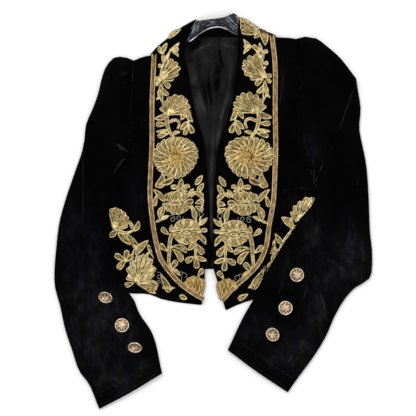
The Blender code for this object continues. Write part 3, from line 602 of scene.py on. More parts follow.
# %% The velvets
def velvet(name, stretch, turn):
    made = principled(name, BLACK, 0.85, specular_ior_level=0.02, sheen_weight=0.004,
                      sheen_roughness=0.35, sheen_tint=(0.75, 0.82, 1.0))
    nap = object_noise(made, 16.0, 5.0, stretch, turn)
    pressed = ramp(made, nap, "Fac", ((0.40, (0.0003, 0.0003, 0.0004)), (0.75, (0.0015, 0.0015, 0.0018))))
    crinkle = object_noise(made, 46.0, 7.0, stretch, turn)
    # Painted sheen: worn, crushed pile shines lighter and cool in fine patches where the wear lies
    rubbed_sheen = ramp(made, crinkle, "Fac", ((0.34, 0.0018), (0.52, 0.0040), (0.70, 0.0100)))
    tint = ramp(made, nap, "Fac", ((0.44, (1.0, 1.0, 1.06)), (0.58, (0.88, 0.80, 1.35))))
    where_worn_sheen = attribute_light(made, "wear_and_light", 0.0, 1.0, ((0.0, 0.0), (1.0, 1.0)))
    wear_light_patches = blend(made, "MULTIPLY", blend(made, "MULTIPLY", rubbed_sheen, tint), where_worn_sheen)
    # Painted highlights on the tops of the creases, broken up by the same fine noise
    uneven = ramp(made, crinkle, "Fac", ((0.34, 0.35), (0.62, 1.0)))
    crest_highlights = attribute_light(made, "relief_and_light", 0.75, 2.3, ((0.0, BLACK), (1.0, (0.021, 0.021, 0.024))))
    folded = blend(made, "MULTIPLY", uneven, crest_highlights)
    paint(made, blend(made, "ADD", pressed, blend(made, "ADD", wear_light_patches, folded)))
    pile = object_noise(made, 900.0)
    bump(made, ((crinkle, 0.4), (pile, 0.2)), 0.6)
    return made


# The nap runs down each piece, so its noise is stretched and turned to lie along it
BODY_VELVET = velvet("body_velvet", (2.0, 1.0, 1.0), 8)
LAPEL_VELVET = velvet("lapel_velvet", (1.5, 1.0, 1.0), 0)
LEFT_SLEEVE_VELVET = velvet("left_sleeve_velvet", (1.8, 1.0, 1.0), -14)
RIGHT_SLEEVE_VELVET = velvet("right_sleeve_velvet", (1.8, 1.0, 1.0), 28)
print("velvet for the body, the lapels and each sleeve")

# %% [markdown]
# ## The creases of the fronts
#
# A crease is a row: how high in millimetres, how wide, and the points it runs through. They were
# placed one by one, because cloth that was laid down by hand has no pattern. The fronts
# have few: they are drawn smooth by the stiff lapels, and dip where the sleeves press on them.

# %% Creases of the fronts
LEFT_FRONT_CREASES = (
    (0.7, 7, (-126, 244), (-131, 196), (-128, 150)),
    (0.7, 8, (-124, 62), (-146, 52), (-170, 38)),
    (-0.7, 6, (-122, 120), (-130, 60), (-126, 4)),
    (1.1, 2.4, (-146, 14), (-132, -4), (-120, -30)),
    (0.6, 5, (-180, -60), (-160, -90), (-150, -128)),
)
RIGHT_FRONT_CREASES = (
    (1.5, 2.2, (131, 268), (124, 222), (118, 176), (119, 132)),
    (1.2, 2.0, (140, 290), (134, 262), (136, 236)),
    (1.6, 2.2, (124, 38), (150, 41), (186, 40)),
    (1.3, 2.2, (114, 20), (124, 32), (134, 44)),
    (-0.8, 6, (124, 116), (134, 76), (128, 30)),
    (0.7, 6, (142, 110), (150, 84), (160, 62)),
    (0.7, 5, (108, 4), (118, -30), (112, -70)),
)
print("front creases:", len(LEFT_FRONT_CREASES) + len(RIGHT_FRONT_CREASES))

# %% [markdown]
# ## The creases of the sleeves
#
# One long thin edge runs down each sleeve, where it was folded flat. Short ones gather where the
# elbow bends, and shallow broken ones lie on the forearm, where the pile has been crushed.

# %% Creases of the sleeves
LEFT_SLEEVE_CREASES = (
    (1.6, 2.0, (-232, 152), (-234, 60), (-233, -40), (-232, -134)),
    (1.3, 2.2, (-232, -128), (-222, -142), (-214, -160), (-208, -176)),
    (1.3, 2.2, (-233, -126), (-240, -142), (-250, -150)),
    (2.4, 2.2, (-184, 124), (-168, 117), (-150, 104)),
    (2.4, 2.2, (-150, 104), (-166, 86), (-184, 58)),
    (1.3, 2.0, (-176, 124), (-164, 112), (-160, 100)),
    (0.7, 9, (-198, 172), (-208, 120), (-212, 60), (-206, 10)),
    (-0.9, 8, (-186, 150), (-196, 90), (-196, 30)),
    (0.7, 9, (-262, 30), (-258, -30), (-262, -90)),
    (1.4, 3.0, (-206, -150), (-194, -160), (-186, -176)),
    (1.2, 2.6, (-222, -196), (-204, -200), (-176, -190)),
    (1.3, 2.6, (-180, -212), (-168, -226), (-166, -244)),
    (-0.9, 8, (-186, -120), (-214, -136), (-246, -140)),
    (1.1, 3.4, (-262, -170), (-252, -206), (-236, -250)),
    (1.5, 2.6, (-244, -232), (-226, -262), (-222, -290)),
    (0.8, 6, (-140, -196), (-150, -240), (-146, -290)),
    (1.2, 3.0, (-206, -220), (-196, -262), (-198, -300)),
    (2.2, 2.8, (-186, -296), (-176, -302), (-166, -312)),
    (2.0, 2.4, (-182, -306), (-174, -316), (-172, -324)),
    (1.5, 2.4, (-150, -292), (-134, -296), (-112, -288)),
    (1.3, 2.4, (-216, -318), (-206, -332), (-202, -342)),
)
RIGHT_SLEEVE_CREASES = (
    (1.8, 2.1, (256, 232), (240, 184), (216, 120), (200, 88)),
    (2.0, 2.2, (200, 92), (188, 62), (180, 46)),
    (1.8, 2.2, (178, 100), (181, 76), (182, 48)),
    (0.7, 7, (246, 150), (232, 110), (210, 60)),
    (-1.0, 8, (226, 210), (202, 150), (186, 100)),
    (1.2, 2.2, (262, 68), (260, 50), (256, 34)),
    (-0.9, 9, (206, 30), (226, -6), (236, -34)),
    (1.0, 10, (250, -20), (246, -50), (258, -84)),
    (1.0, 4.2, (212, -62), (226, -84), (248, -92), (276, -88)),
    (1.6, 2.6, (196, -66), (206, -84), (222, -96), (240, -112)),
    (0.7, 4.0, (232, -48), (240, -70), (262, -78)),
    (1.5, 2.2, (170, -122), (166, -146), (158, -172)),
    (1.6, 2.6, (190, -142), (200, -168), (196, -200)),
    (1.4, 2.6, (176, -186), (186, -214), (200, -222)),
    (1.7, 2.8, (170, -222), (158, -240), (154, -258), (140, -284)),
    (1.4, 2.8, (146, -236), (140, -262), (124, -284)),
    (1.2, 2.6, (132, -110), (120, -140), (116, -156)),
    (1.3, 2.8, (96, -250), (112, -266), (120, -290)),
    (1.0, 3.2, (64, -206), (60, -232), (48, -250)),
    (0.8, 5, (150, -60), (164, -84), (160, -112)),
)
print("sleeve creases:", len(LEFT_SLEEVE_CREASES), "and", len(RIGHT_SLEEVE_CREASES))

# %% [markdown]
# ## The creases of the lining and the back
#
# The lining falls in long soft folds from the neck, with one deep pleat at the centre that gives
# the back room to move. The back itself is hidden under everything, so a few broad waves do.

# %% Creases of the lining and the back
LINING_CREASES = (
    (2.2, 3.2, (28, 214), (16, 168), (7, 118)),
    (1.0, 9, (-42, 268), (-30, 224), (-15, 172)),
    (-1.3, 8, (10, 264), (9, 240), (6, 212)),
    (-1.8, 2.0, (11, 316), (12, 284), (18, 256)),
    (-1.5, 2.2, (-4, 266), (-8, 236), (-4, 202), (-2, 172)),
    (-1.7, 5, (-44, 288), (-32, 300), (-18, 314)),
    (1.2, 2.6, (-38, 282), (-22, 294), (-4, 302)),
    (1.3, 2.4, (18, 300), (28, 297), (42, 295)),
    (1.7, 3.6, (2, 158), (-2, 90), (-3, 20), (-4, -60)),
    (1.0, 2.6, (-30, 246), (-24, 208), (-12, 172)),
    (-1.0, 2.6, (-20, 242), (-14, 206), (-8, 176)),
    (0.9, 3.0, (34, 268), (32, 236), (26, 206)),
    (-1.2, 2.2, (22, 182), (14, 154), (10, 140)),
    (-1.0, 3.0, (-40, 226), (-30, 222), (-16, 226)),
)
BACK_CREASES = (
    (0.5, 9, (-150, 60), (-110, 40), (-60, 44)),
    (0.5, 9, (140, 70), (96, 50), (40, 60)),
    (0.4, 8, (-20, 280), (-10, 200), (-16, 100)),
    (0.5, 10, (-120, -60), (-40, -40), (60, -52), (130, -70)),
)
print("lining creases:", len(LINING_CREASES), "and back creases:", len(BACK_CREASES))

# %% [markdown]
# ## Worn velvet with painted sheen, and painted shade
#
# Pile that has been pressed or rubbed is worn, and its grey shine there is painted sheen. It lies
# in patches, on the forearms above all, so a patch is a row: its middle, its two half widths and
# how strong it is. The lining has patches too, and there they are painted shade.

# %% Patches of worn pile with painted sheen, and of painted shade
WEAR_SHEEN_AND_SHADE = {
    "sleeve_top_left": (
        (-262, -30, 26, 62, 0.45), (-214, -60, 20, 64, 0.4), (-236, -150, 44, 50, 0.8),
        (-186, -170, 30, 34, 0.8), (-210, -240, 52, 52, 1.0), (-176, -306, 40, 24, 0.9),
        (-120, -280, 26, 24, 0.8), (-152, -220, 18, 40, 0.7),
    ),
    "sleeve_top_right": (
        (183, 112, 20, 26, 0.45), (178, -40, 20, 32, 1.0), (252, -88, 36, 52, 1.35),
        (142, -104, 28, 32, 0.6), (188, -176, 24, 44, 1.1), (158, -256, 30, 34, 1.2),
        (72, -214, 40, 30, 0.7), (206, -112, 26, 26, 0.7), (112, -262, 28, 24, 0.8),
    ),
    "front_right": ((146, 16, 20, 22, 0.4), (120, 240, 10, 60, 0.3)),
    "front_left": ((-134, 20, 18, 50, 0.3),),
    "back": ((0, 60, 90, 140, 0.3), (-60, -60, 80, 60, 0.35)),
    "back_lining": (
        (-42, 304, 15, 22, 1.0), (-52, 236, 9, 44, 0.7), (40, 232, 8, 60, 0.7),
        (8, 238, 10, 26, 0.5), (-16, 318, 30, 7, 0.8), (-30, 212, 10, 9, 0.35),
    ),
}
print("patches:", sum(len(rows) for rows in WEAR_SHEEN_AND_SHADE.values()))

# %% [markdown]
# ## Gathered sleeve heads
#
# The head of each top sleeve is cut fuller than its seam and drawn together, so a fan of small
# pleats runs out from the seam. They are alike enough for a loop, and unequal enough to need
# chance: a seeded generator gives each pleat its own place, length and lean, the same each time.

# %% Gather the sleeve heads
GATHERS = 13
GATHER_SHIFT = 0.25
GATHER_SHORTEST = 0.45
GATHER_FAN = 26
GATHER_LEAN = 6
GATHER_SWAY = 2
GATHER_HEIGHTS = (0.6, 0.9)
GATHER_WIDTHS = (2.6, 4.2)


def head_gathers(seam, inward, longest, seed):
    """The fan of small pleats that gathers a sleeve's head into its armhole seam."""
    draw = random.Random(seed)
    path = smooth_path(seam, 4.0)
    rows = []
    for k in range(GATHERS):
        share = (k + 0.5 + draw.uniform(-GATHER_SHIFT, GATHER_SHIFT)) / GATHERS
        start = path[min(len(path) - 1, int(share * len(path)))]
        fade = math.sin(math.pi * min(1.0, 0.35 + share * 0.8))
        reach = longest * (GATHER_SHORTEST + (1 - GATHER_SHORTEST) * draw.random()) * fade
        lean = math.radians(inward + GATHER_FAN * (0.5 - share) + draw.uniform(-GATHER_LEAN, GATHER_LEAN))
        end = start + reach * Vector((math.cos(lean), math.sin(lean)))
        middle = start.lerp(end, 0.5) + Vector((0, draw.uniform(-GATHER_SWAY, GATHER_SWAY)))
        height = draw.uniform(*GATHER_HEIGHTS) * (0.5 + 0.5 * fade)
        rows.append((height, draw.uniform(*GATHER_WIDTHS), tuple(start), tuple(middle), tuple(end)))
    return tuple(rows)


LEFT_GATHERS = head_gathers(((-145, 266), (-148, 227), (-151, 182), (-152, 140)), 180, 46, 4)
RIGHT_GATHERS = head_gathers(((151, 304), (156, 254), (160, 200), (164, 150)), -12, 54, 9)
print("pleats:", len(LEFT_GATHERS), "and", len(RIGHT_GATHERS))

# %% [markdown]
# ## Cutting the cloth
#
# The table gives for every sheet the size that it was cut to, flat: the width and length of its
# smallest rectangle and, because no piece of a jacket is a rectangle, its area. The top sleeves
# are cut fuller than they lie, since their heads are gathered. The pieces that are hidden or plain
# get larger triangles, and the creased sleeves the smallest.

# %% Make the pieces of cloth
SHEER = 0.9
PLAIN_WALL = 1.9
VELVET_WALL = 2.0
LAPEL_WALL = 2.3
# A piece is its velvet, its creases, if it is measured over its under skin, its thickness, its
# flat size and area in metres, and what it rests on
CLOTH = {
    "back": (BODY_VELVET, BACK_CREASES, False, PLAIN_WALL, (0.40, 0.48), 0.134, "floor"),
    "neck_facing": (BODY_VELVET, (), False, SHEER, (0.14, 0.03), 0.0024, "back"),
    "front_left": (BODY_VELVET, LEFT_FRONT_CREASES, True, VELVET_WALL, (0.20, 0.52), 0.057, "back"),
    "front_right": (BODY_VELVET, RIGHT_FRONT_CREASES, True, VELVET_WALL, (0.20, 0.54), 0.057, "back"),
    "lapel_left": (LAPEL_VELVET, (), True, LAPEL_WALL, (0.12, 0.52), 0.042, "front_left"),
    "lapel_right": (LAPEL_VELVET, (), True, LAPEL_WALL, (0.12, 0.53), 0.042, "front_right"),
    "sleeve_under_left": (LEFT_SLEEVE_VELVET, (), True, PLAIN_WALL, (0.17, 0.66), 0.068, "floor"),
    "sleeve_under_right": (RIGHT_SLEEVE_VELVET, (), True, PLAIN_WALL, (0.17, 0.66), 0.068, "floor"),
    "sleeve_top_left": (LEFT_SLEEVE_VELVET, LEFT_SLEEVE_CREASES + LEFT_GATHERS, False, VELVET_WALL,
                        (0.21, 0.70), 0.075, "sleeve_under_left"),
    "sleeve_top_right": (RIGHT_SLEEVE_VELVET, RIGHT_SLEEVE_CREASES + RIGHT_GATHERS, False, VELVET_WALL,
                         (0.21, 0.70), 0.075, "sleeve_under_right"),
}
PLAIN = ("back", "neck_facing", "sleeve_under_left", "sleeve_under_right")
COARSE, FINE, FINER = 8.0, 3.2, 2.3
STILL, RIPPLED = 0.1, 0.3
SEED_STEP = 3.7

cloths = {}
for number, (name, row) in enumerate(CLOTH.items()):
    made, creases, over_under, wall, flat, area, rests_on = row
    ripple = STILL if name in PLAIN or "lapel" in name else RIPPLED
    step = COARSE if name in PLAIN else FINER if "top" in name else FINE
    bm = cloth_from(name, creases, over_under, wall, ripple, SEED_STEP * number, step, WEAR_SHEEN_AND_SHADE.get(name, ()))
    cloths[name] = finished_piece("cloth_" + name, bm, (made,), (name,))

# %% [markdown]
# ## Round cords
#
# Goldwork, braid, piping and stitches are all cords. Blender gives every spline of a curve the
# same round section, and each spline can have its own thickness and its own material, so one
# curve object holds hundreds of cords. It is then made a mesh.

# %% A piece of cords
CORD_SHARP_ANGLE = 80


def cord_piece(name, lines, materials, radius, resolution=1):
    """A piece of round cords; a line is points in millimetres, a material number, a thickness and
    if it is closed."""
    curve = bpy.data.curves.new(name, "CURVE")
    curve.dimensions = "3D"
    curve.bevel_depth = radius * MM
    curve.bevel_resolution = resolution
    curve.use_fill_caps = True
    for made in materials:
        curve.materials.append(made)
    for points, number, thick, closed in lines:
        spline = curve.splines.new("POLY")
        spline.points.add(len(points) - 1)
        for point, (x, y, z) in zip(spline.points, points):
            point.co = (x * MM, y * MM, z * MM, 1)
            point.radius = thick
        spline.use_cyclic_u = closed
        spline.material_index = number
        spline.use_smooth = True
    holder = bpy.data.objects.new(name + "_curve", curve)
    mesh = bpy.data.meshes.new_from_object(holder)
    mesh.name = name
    bpy.data.objects.remove(holder)
    bpy.data.curves.remove(curve)
    return dressed(name, mesh, (), angle=CORD_SHARP_ANGLE)


print("cords stay smooth up to", CORD_SHARP_ANGLE, "degrees")

# %% [markdown]
# ## Gold finishes
#
# Gold thread is a fine metal strip wound round a core, so it glitters in tiny ribs. The shader
# is a metal with a straw-coloured base, made uneven by noise, since old cords tarnish in
# patches. Deeper golds are the same metal with more copper in it. The shadow gold is painted
# shade, and the felt below is dark brown: felt, and also painted shade where it shows between
# and just beyond the cords.

# %% Gold, silver and felt
RIBS = 1500.0
RIB_RELIEF = (0.6, 0.25)


def thread_metal(name, light, dark, roughness, patches=190.0):
    made = principled(name, light, roughness, metallic=0.95)
    mottled(made, patches, 3.0, (0.34, dark), (0.62, light))
    bump(made, ((object_noise(made, RIBS, 1.0), RIB_RELIEF[0]),), RIB_RELIEF[1])
    return made


GOLDS = (
    thread_metal("pale_gold", (0.96, 0.82, 0.46), (0.52, 0.40, 0.16), 0.42),
    thread_metal("straw_gold", (0.70, 0.545, 0.255), (0.28, 0.19, 0.07), 0.45),
    thread_metal("deep_gold", (0.80, 0.57, 0.17), (0.40, 0.26, 0.06), 0.40),
    thread_metal("silver_wire", (0.62, 0.60, 0.58), (0.34, 0.32, 0.30), 0.35),
    thread_metal("maroon_gold", (0.30, 0.14, 0.065), (0.12, 0.05, 0.025), 0.5),
    thread_metal("warm_gold", (0.88, 0.66, 0.29), (0.54, 0.36, 0.12), 0.40),
    thread_metal("shadow_gold", (0.20, 0.125, 0.045), (0.08, 0.045, 0.018), 0.5),
)
PALE, STRAW, DEEP, SILVER, MAROON, WARM, SHADOW = range(len(GOLDS))
# Dark brown felt, which also serves as painted shade between and beside the cords
FELT_AND_SHADE = principled("felt_and_painted_shade", (0.06, 0.035, 0.015), 0.8, specular_ior_level=0.1)
felt_fuzz = mottled(FELT_AND_SHADE, 260.0, 3.0, (0.3, (0.030, 0.014, 0.006)), (0.7, (0.13, 0.08, 0.028)))
bump(FELT_AND_SHADE, ((felt_fuzz, 0.5),), 0.4)
print("golds:", len(GOLDS))

# %% [markdown]
# ## The shape of a petal
#
# Petals, leaves, buds and rays differ only in how wide they are along their middle line. One
# short formula for each kind tells the half width from base to tip: a leaf is widest in its
# middle, a petal near its round tip, and a ray grows evenly from a point.

# %% Profiles of petals and leaves
PROFILE_STEPS = 48


def half_width(kind, share):
    """Half width of a petal or leaf along its middle line, as a share of its half width."""
    share = min(1.0, max(0.0, share))
    if kind == "leaf":
        return math.sin(math.pi * share ** 0.85) ** 0.8
    if kind == "bud":
        return math.sin(math.pi * share ** 1.25) ** 0.7
    if kind == "ray":
        return share * math.sqrt(1 - share ** 6) * 1.45
    return share ** 0.75 * math.sqrt(1 - share ** 4) * 1.49


def span_at(kind, width, inset):
    """From where to where along its middle line a petal is wider than twice an inset."""
    wide = [k / PROFILE_STEPS for k in range(PROFILE_STEPS + 1)
            if width / 2 * half_width(kind, k / PROFILE_STEPS) >= inset]
    return (wide[0], wide[-1]) if wide else (0.5, 0.5)


print("a leaf's half width in its middle:", round(half_width("leaf", 0.5), 2))

# %% [markdown]
# ## Couching the cords
#
# Gold cord is too stiff to be sewn through cloth, so it is laid on top and caught down, side by
# side. On a real jacket a pad of felt lifts each petal. Here the felt is only a flat patch that
# hides the velvet between the cords, and the cords make the relief: each round of a petal lies
# higher than the one outside it. The outer two rounds have a light tone, a wide petal has a dark
# round next, and the rest has the petal's own tone. Stems are cords side by side that join
# at their end, and thin silver wires and curls fill the gaps. The class below collects all of
# these for one piece of cloth.

# %% Petals, stems and curls
# CORD is half a cord's thickness, and STEM_CORD and CURL_CORD are shares of it
CORD = 0.56
CORD_PITCH = 1.3
CORD_POINTS = 9
CORD_RISE = 0.45
VEIN = 0.5
DOME_HEIGHT = 1.9
PATCH_SIDES = 12
PATCH_REACH = 1.1
PATCH_SINK = 0.25
FULL_DOME_WIDTH = 9
SMALLEST = 1e-6
LAYER_RISE = 0.6
EDGE_LIFT = 0.35
SHADED_WIDTH = 8.5
DIP = 4.5
STEM_STEP = 2.6
STEM_CORD = 1.45
STEM_PITCH = 1.95
STEM_TAPER = 0.55
STEM_CROWN = 0.6
WIRE_STEP = 2.0
CURL_POINTS = 22
CURL_TURN = 7.6
CURL_TAIL = 4.2
CURL_OPENS = 0.7
CURL_CORD = 0.62


def across_path(path, k):
    """The direction across a path at one of its points, to the left of its run."""
    run = path[min(k + 1, len(path) - 1)] - path[max(k - 1, 0)]
    return Vector((-run.y, run.x)).normalized()


class Goldwork:
    """Collects petals, stems and curls for one piece of cloth."""

    def __init__(self, height, clear, covered=None):
        self.height = height
        self.clear = clear
        self.covered = covered or (lambda x, y: False)
        self.felt = bmesh.new()
        self.splines = []

    def ground(self, x, y):
        """The height of the cloth here; what runs in under a sleeve dips out of its way."""
        return self.height(x, y, self.last) - (DIP if self.covered(x, y) else 0.0)

    def cord(self, points, tone, thick=1.0, closed=False):
        self.splines.append((points, tone, thick, closed))

    def petal(self, kind, base, tip, width, bend=0.0, layer=0, tone=STRAW, edge=PALE):
        """One petal, leaf or bud: a patch of felt with rings of cord that rise inwards."""
        base, tip = Vector(base), Vector(tip)
        half_way = base.lerp(tip, 0.5)
        if not self.clear(*tip) or not self.clear(*half_way):
            return
        run = tip - base
        length = run.length
        across = Vector((-run.y, run.x)) / length
        self.last = self.height(*half_way, 0.0)
        rise = layer * LAYER_RISE
        dome = DOME_HEIGHT * min(1.0, width / FULL_DOME_WIDTH)

        def place(share, side, inset, span):
            """A point of the petal: share along the span of its middle line, side from -1 to 1."""
            share = span[0] + (span[1] - span[0]) * share
            middle = base + run * share + across * bend * 4 * share * (1 - share)
            return middle + across * side * max(0.0, width / 2 * half_width(kind, share) - inset)

        def patch():
            """A flat patch of felt: a circle whose points are moved to the petal's outline."""
            span = (-PATCH_REACH / length, 1 + PATCH_REACH / length)
            circle = bmesh.ops.create_circle(self.felt, cap_ends=True, radius=1.0, segments=PATCH_SIDES)
            for vertex in circle["verts"]:
                x, y = vertex.co.xy
                side = x / math.sqrt(max(SMALLEST, 1 - y ** 2))
                spot = place((y + 1) / 2, max(-1.0, min(1.0, side)), -PATCH_REACH, span)
                level = self.ground(*spot) + rise - PATCH_SINK
                vertex.co = Vector((spot.x, spot.y, level)) * MM

        def ring(inset, span):
            """A closed cord round the petal, the higher the further inside it lies."""
            inwards = 2 * inset / width
            crown = dome * (EDGE_LIFT + (1 - EDGE_LIFT) * inwards)
            loop = []
            for side, order in ((1, range(CORD_POINTS)), (-1, range(CORD_POINTS, 0, -1))):
                for k in order:
                    share = (1 - math.cos(math.pi * k / CORD_POINTS)) / 2
                    spot = place(share, side, inset, span)
                    shape = half_width(kind, share) * (1 - inwards)
                    lift = rise + crown * math.sqrt(max(0.0, 1 - shape ** 2)) + CORD_RISE * CORD
                    loop.append((spot.x, spot.y, self.ground(*spot) + lift))
            return loop

        # The felt reaches past the cords as a dark rim of painted shade
        patch()
        inner = width / 2 - VEIN
        rounds = max(1, round((inner - CORD) / CORD_PITCH))
        # A wide petal's third round is shadow gold, painted shade between its ribs
        tones = (edge, edge, SHADOW) if width >= SHADED_WIDTH else (edge, edge)
        for number in range(rounds + 1):
            inset = CORD + (inner - CORD) * number / rounds
            span = span_at(kind, width, inset)
            if span[1] - span[0] >= 2 * CORD / length:
                self.cord(ring(inset, span), tones[number] if number < len(tones) else tone, closed=True)

    def stem(self, points, strands):
        """Cords side by side along a path, which come together at its end."""
        path = smooth_path(points, STEM_STEP)
        self.last = self.height(*points[0], 0.0)
        for strand in range(strands):
            offset = (strand - (strands - 1) / 2) * STEM_PITCH
            line = []
            for k, spot in enumerate(path):
                taper = 1 - STEM_TAPER * (k / (len(path) - 1)) ** 2
                put = spot + across_path(path, k) * offset * taper
                crown = STEM_CROWN * (1 - abs(offset) / (strands * STEM_PITCH))
                line.append((put.x, put.y, self.ground(*put) + CORD + crown))
            self.cord(line, PALE if strand in (0, strands - 1) else STRAW, STEM_CORD)

    def curl(self, x, y, size, turn, flip=1):
        """A thin wire that goes round once and runs out in an open arc."""
        line = []
        self.last = self.height(x, y, 0.0)
        for k in range(CURL_POINTS):
            share = k / (CURL_POINTS - 1)
            angle = math.radians(turn) + CURL_TURN * share
            reach = size * (0.8 + 0.2 * share + CURL_TAIL * max(0.0, share - CURL_OPENS))
            spot = (x + flip * reach * math.cos(angle), y + reach * math.sin(angle))
            line.append((*spot, self.ground(*spot) + CORD))
        self.cord(line, SILVER, CURL_CORD)

    def wire(self, points):
        """A thin silver wire along a path."""
        self.last = self.height(*points[0], 0.0)
        line = [(spot.x, spot.y, self.ground(*spot) + CORD) for spot in smooth_path(points, WIRE_STEP)]
        self.cord(line, SILVER, CURL_CORD)

    def pieces(self, name):
        """Turn what was collected into a piece of felt and a piece of cords."""
        bmesh.ops.recalc_face_normals(self.felt, faces=self.felt.faces)
        finished_piece(name + "_padding", self.felt, (FELT_AND_SHADE,))
        cord_piece(name + "_cords", self.splines, GOLDS, CORD)


print("cord:", 2 * CORD, "mm thick")

# %% [markdown]
# ## Leaves and stems of a lapel
#
# The rows below were placed on the left lapel: a leaf or petal is its kind, base, tip,
# width and bend, and a stem is its number of cords and its path. Each lapel also has some of its
# own at the top, because the two reach the neck at different heights.

# %% Leaves and stems
LEAVES = (
    ("leaf", (-93, 231), (-91, 192), 9, -2), ("leaf", (-95, 222), (-99, 203), 7, 0),
    ("leaf", (-95, 206), (-103, 200), 5, 0), ("petal", (-92, 233), (-78, 222), 10, 1),
    ("petal", (-92, 224), (-81, 208), 9, -2), ("petal", (-90, 259), (-99, 262), 8, 0),
    ("leaf", (-89, 268), (-79, 286), 7, -1), ("leaf", (-90, 266), (-89, 287), 6, 1),
    ("petal", (-93, 239), (-105, 238), 8, 0), ("petal", (-94, 235), (-104, 226), 8, 0),
    ("leaf", (-80, 176), (-107, 166), 11, 3), ("petal", (-84, 156), (-103, 156), 10, 0),
    ("leaf", (-82, 146), (-103, 143), 7, 1), ("petal", (-79, 140), (-100, 134), 9, 0),
    ("leaf", (-74, 137), (-59, 142), 7, 2), ("leaf", (-49, 183), (-59, 163), 10, 1),
    ("leaf", (-46, 180), (-36, 160), 10, -3), ("leaf", (-46, 161), (-60, 146), 10, 1),
    ("petal", (-44, 158), (-52, 137), 9, 0), ("petal", (-43, 158), (-37, 140), 10, 0),
    ("petal", (-91, 69), (-101, 42), 16, 4), ("petal", (-60, 44), (-76, 43), 9, 0),
    ("leaf", (-59, 40), (-57, 59), 10, 0), ("petal", (-57, 42), (-42, 45), 8, 1),
    ("leaf", (-59, 41), (-46, 35), 8, 0), ("leaf", (-60, 41), (-66, 33), 6, 0),
    ("leaf", (-32, 47), (-19, 65), 10, 0), ("leaf", (-29, 33), (-17, 51), 10, 0),
    ("leaf", (-87, 16), (-109, 40), 10, -2), ("petal", (-101, 30), (-107, 9), 9, 0),
    ("leaf", (-86, 10), (-93, -18), 13, -5), ("leaf", (-93, -15), (-104, -20), 5, 0),
    ("leaf", (-93, -16), (-79, -8), 7, 1), ("leaf", (-44, 26), (-35, 41), 8, 1),
    ("petal", (-37, 35), (-18, 25), 10, 2), ("petal", (-33, 14), (-18, 19), 10, 0),
    ("petal", (-33, 9), (-18, 2), 9, 0), ("petal", (-40, 13), (-32, -14), 10, 1),
    ("leaf", (-28, -26), (-10, -11), 8, -1), ("leaf", (-25, -26), (-22, -8), 5, 0),
    ("petal", (-28, -35), (-11, -34), 8, 0), ("leaf", (-29, -42), (-13, -61), 10, 3),
    ("petal", (-79, -42), (-93, -30), 10, 1), ("leaf", (-77, -38), (-75, -24), 8, -1),
    ("petal", (-81, -72), (-96, -59), 10, 1), ("petal", (-77, -65), (-47, -73), 11, 5),
    ("petal", (-75, -68), (-56, -91), 12, 4), ("petal", (-78, -106), (-65, -89), 11, 0),
    ("leaf", (-75, -104), (-59, -117), 8, 2), ("leaf", (-35, -57), (-47, -70), 9, 2),
    ("petal", (-32, -58), (-18, -77), 12, 0), ("petal", (-32, -81), (-50, -91), 11, 0),
    ("petal", (-32, -82), (-29, -103), 11, 0), ("leaf", (-31, -81), (-11, -89), 9, -1),
    ("petal", (-28, -117), (-18, -104), 10, 0),
)
STEMS = (
    (4, (-84, 174), (-83, 158), (-79, 144), (-70, 131)),
    (3, (-80, 160), (-68, 164), (-61, 158), (-64, 148)),
    (2, (-47, 180), (-45, 168), (-44, 156)),
    (3, (-82, 254), (-89, 251), (-95, 254)),
    (2, (-76, 291), (-84, 276), (-91, 262)),
    (4, (-74, -40), (-78, -56), (-79, -76), (-80, -92), (-74, -108)),
    (3, (-34, -50), (-32, -70), (-32, -88)),
    (2, (-42, 10), (-34, -4), (-31, -20), (-38, -32)),
    (3, (-41, 27), (-31, 33), (-22, 29), (-19, 18), (-21, 5)),
)
LEFT_TOP = (
    ("leaf", (-81, 310), (-57, 328), 8, 1), ("leaf", (-94, 283), (-98, 298), 8, 0),
    ("leaf", (-94, 283), (-83, 303), 9, 0), ("leaf", (-77, 290), (-61, 304), 7, -2),
    ("petal", (-77, 290), (-62, 291), 8, 0), ("leaf", (-77, 290), (-62, 277), 7, 2),
)
RIGHT_TOP = (
    ("petal", (85, 326), (47, 346.5), 8, 0), ("petal", (85, 323), (48, 339), 11, 0),
    ("petal", (85, 321), (48, 331), 11, 0), ("petal", (84, 319), (50, 323), 11, 0),
    ("leaf", (82, 328), (93, 297), 15, 5),
    ("leaf", (87, 322), (73, 311), 9, 0), ("leaf", (69, 296), (54, 310), 7, 2),
    ("petal", (69, 296), (55, 296), 8, 0), ("leaf", (69, 296), (54, 282), 7, -2),
    ("leaf", (86, 286), (83, 303), 7, 0), ("petal", (84, 286), (71, 298), 9, 0),
    ("petal", (86, 284), (98, 288), 8, 0),
)
print("leaves and petals:", len(LEAVES), "stems:", len(STEMS))

# %% [markdown]
# ## Fans, blooms and a shell
#
# The half-open flowers are fans: rays from one base to a row of tips. The two broad blooms are
# rows of petals round a middle, and the shell in the point of each lapel is five petals side by
# side. A bloom's middle is covered by lens-shaped buds, and two petals are worked in maroon.

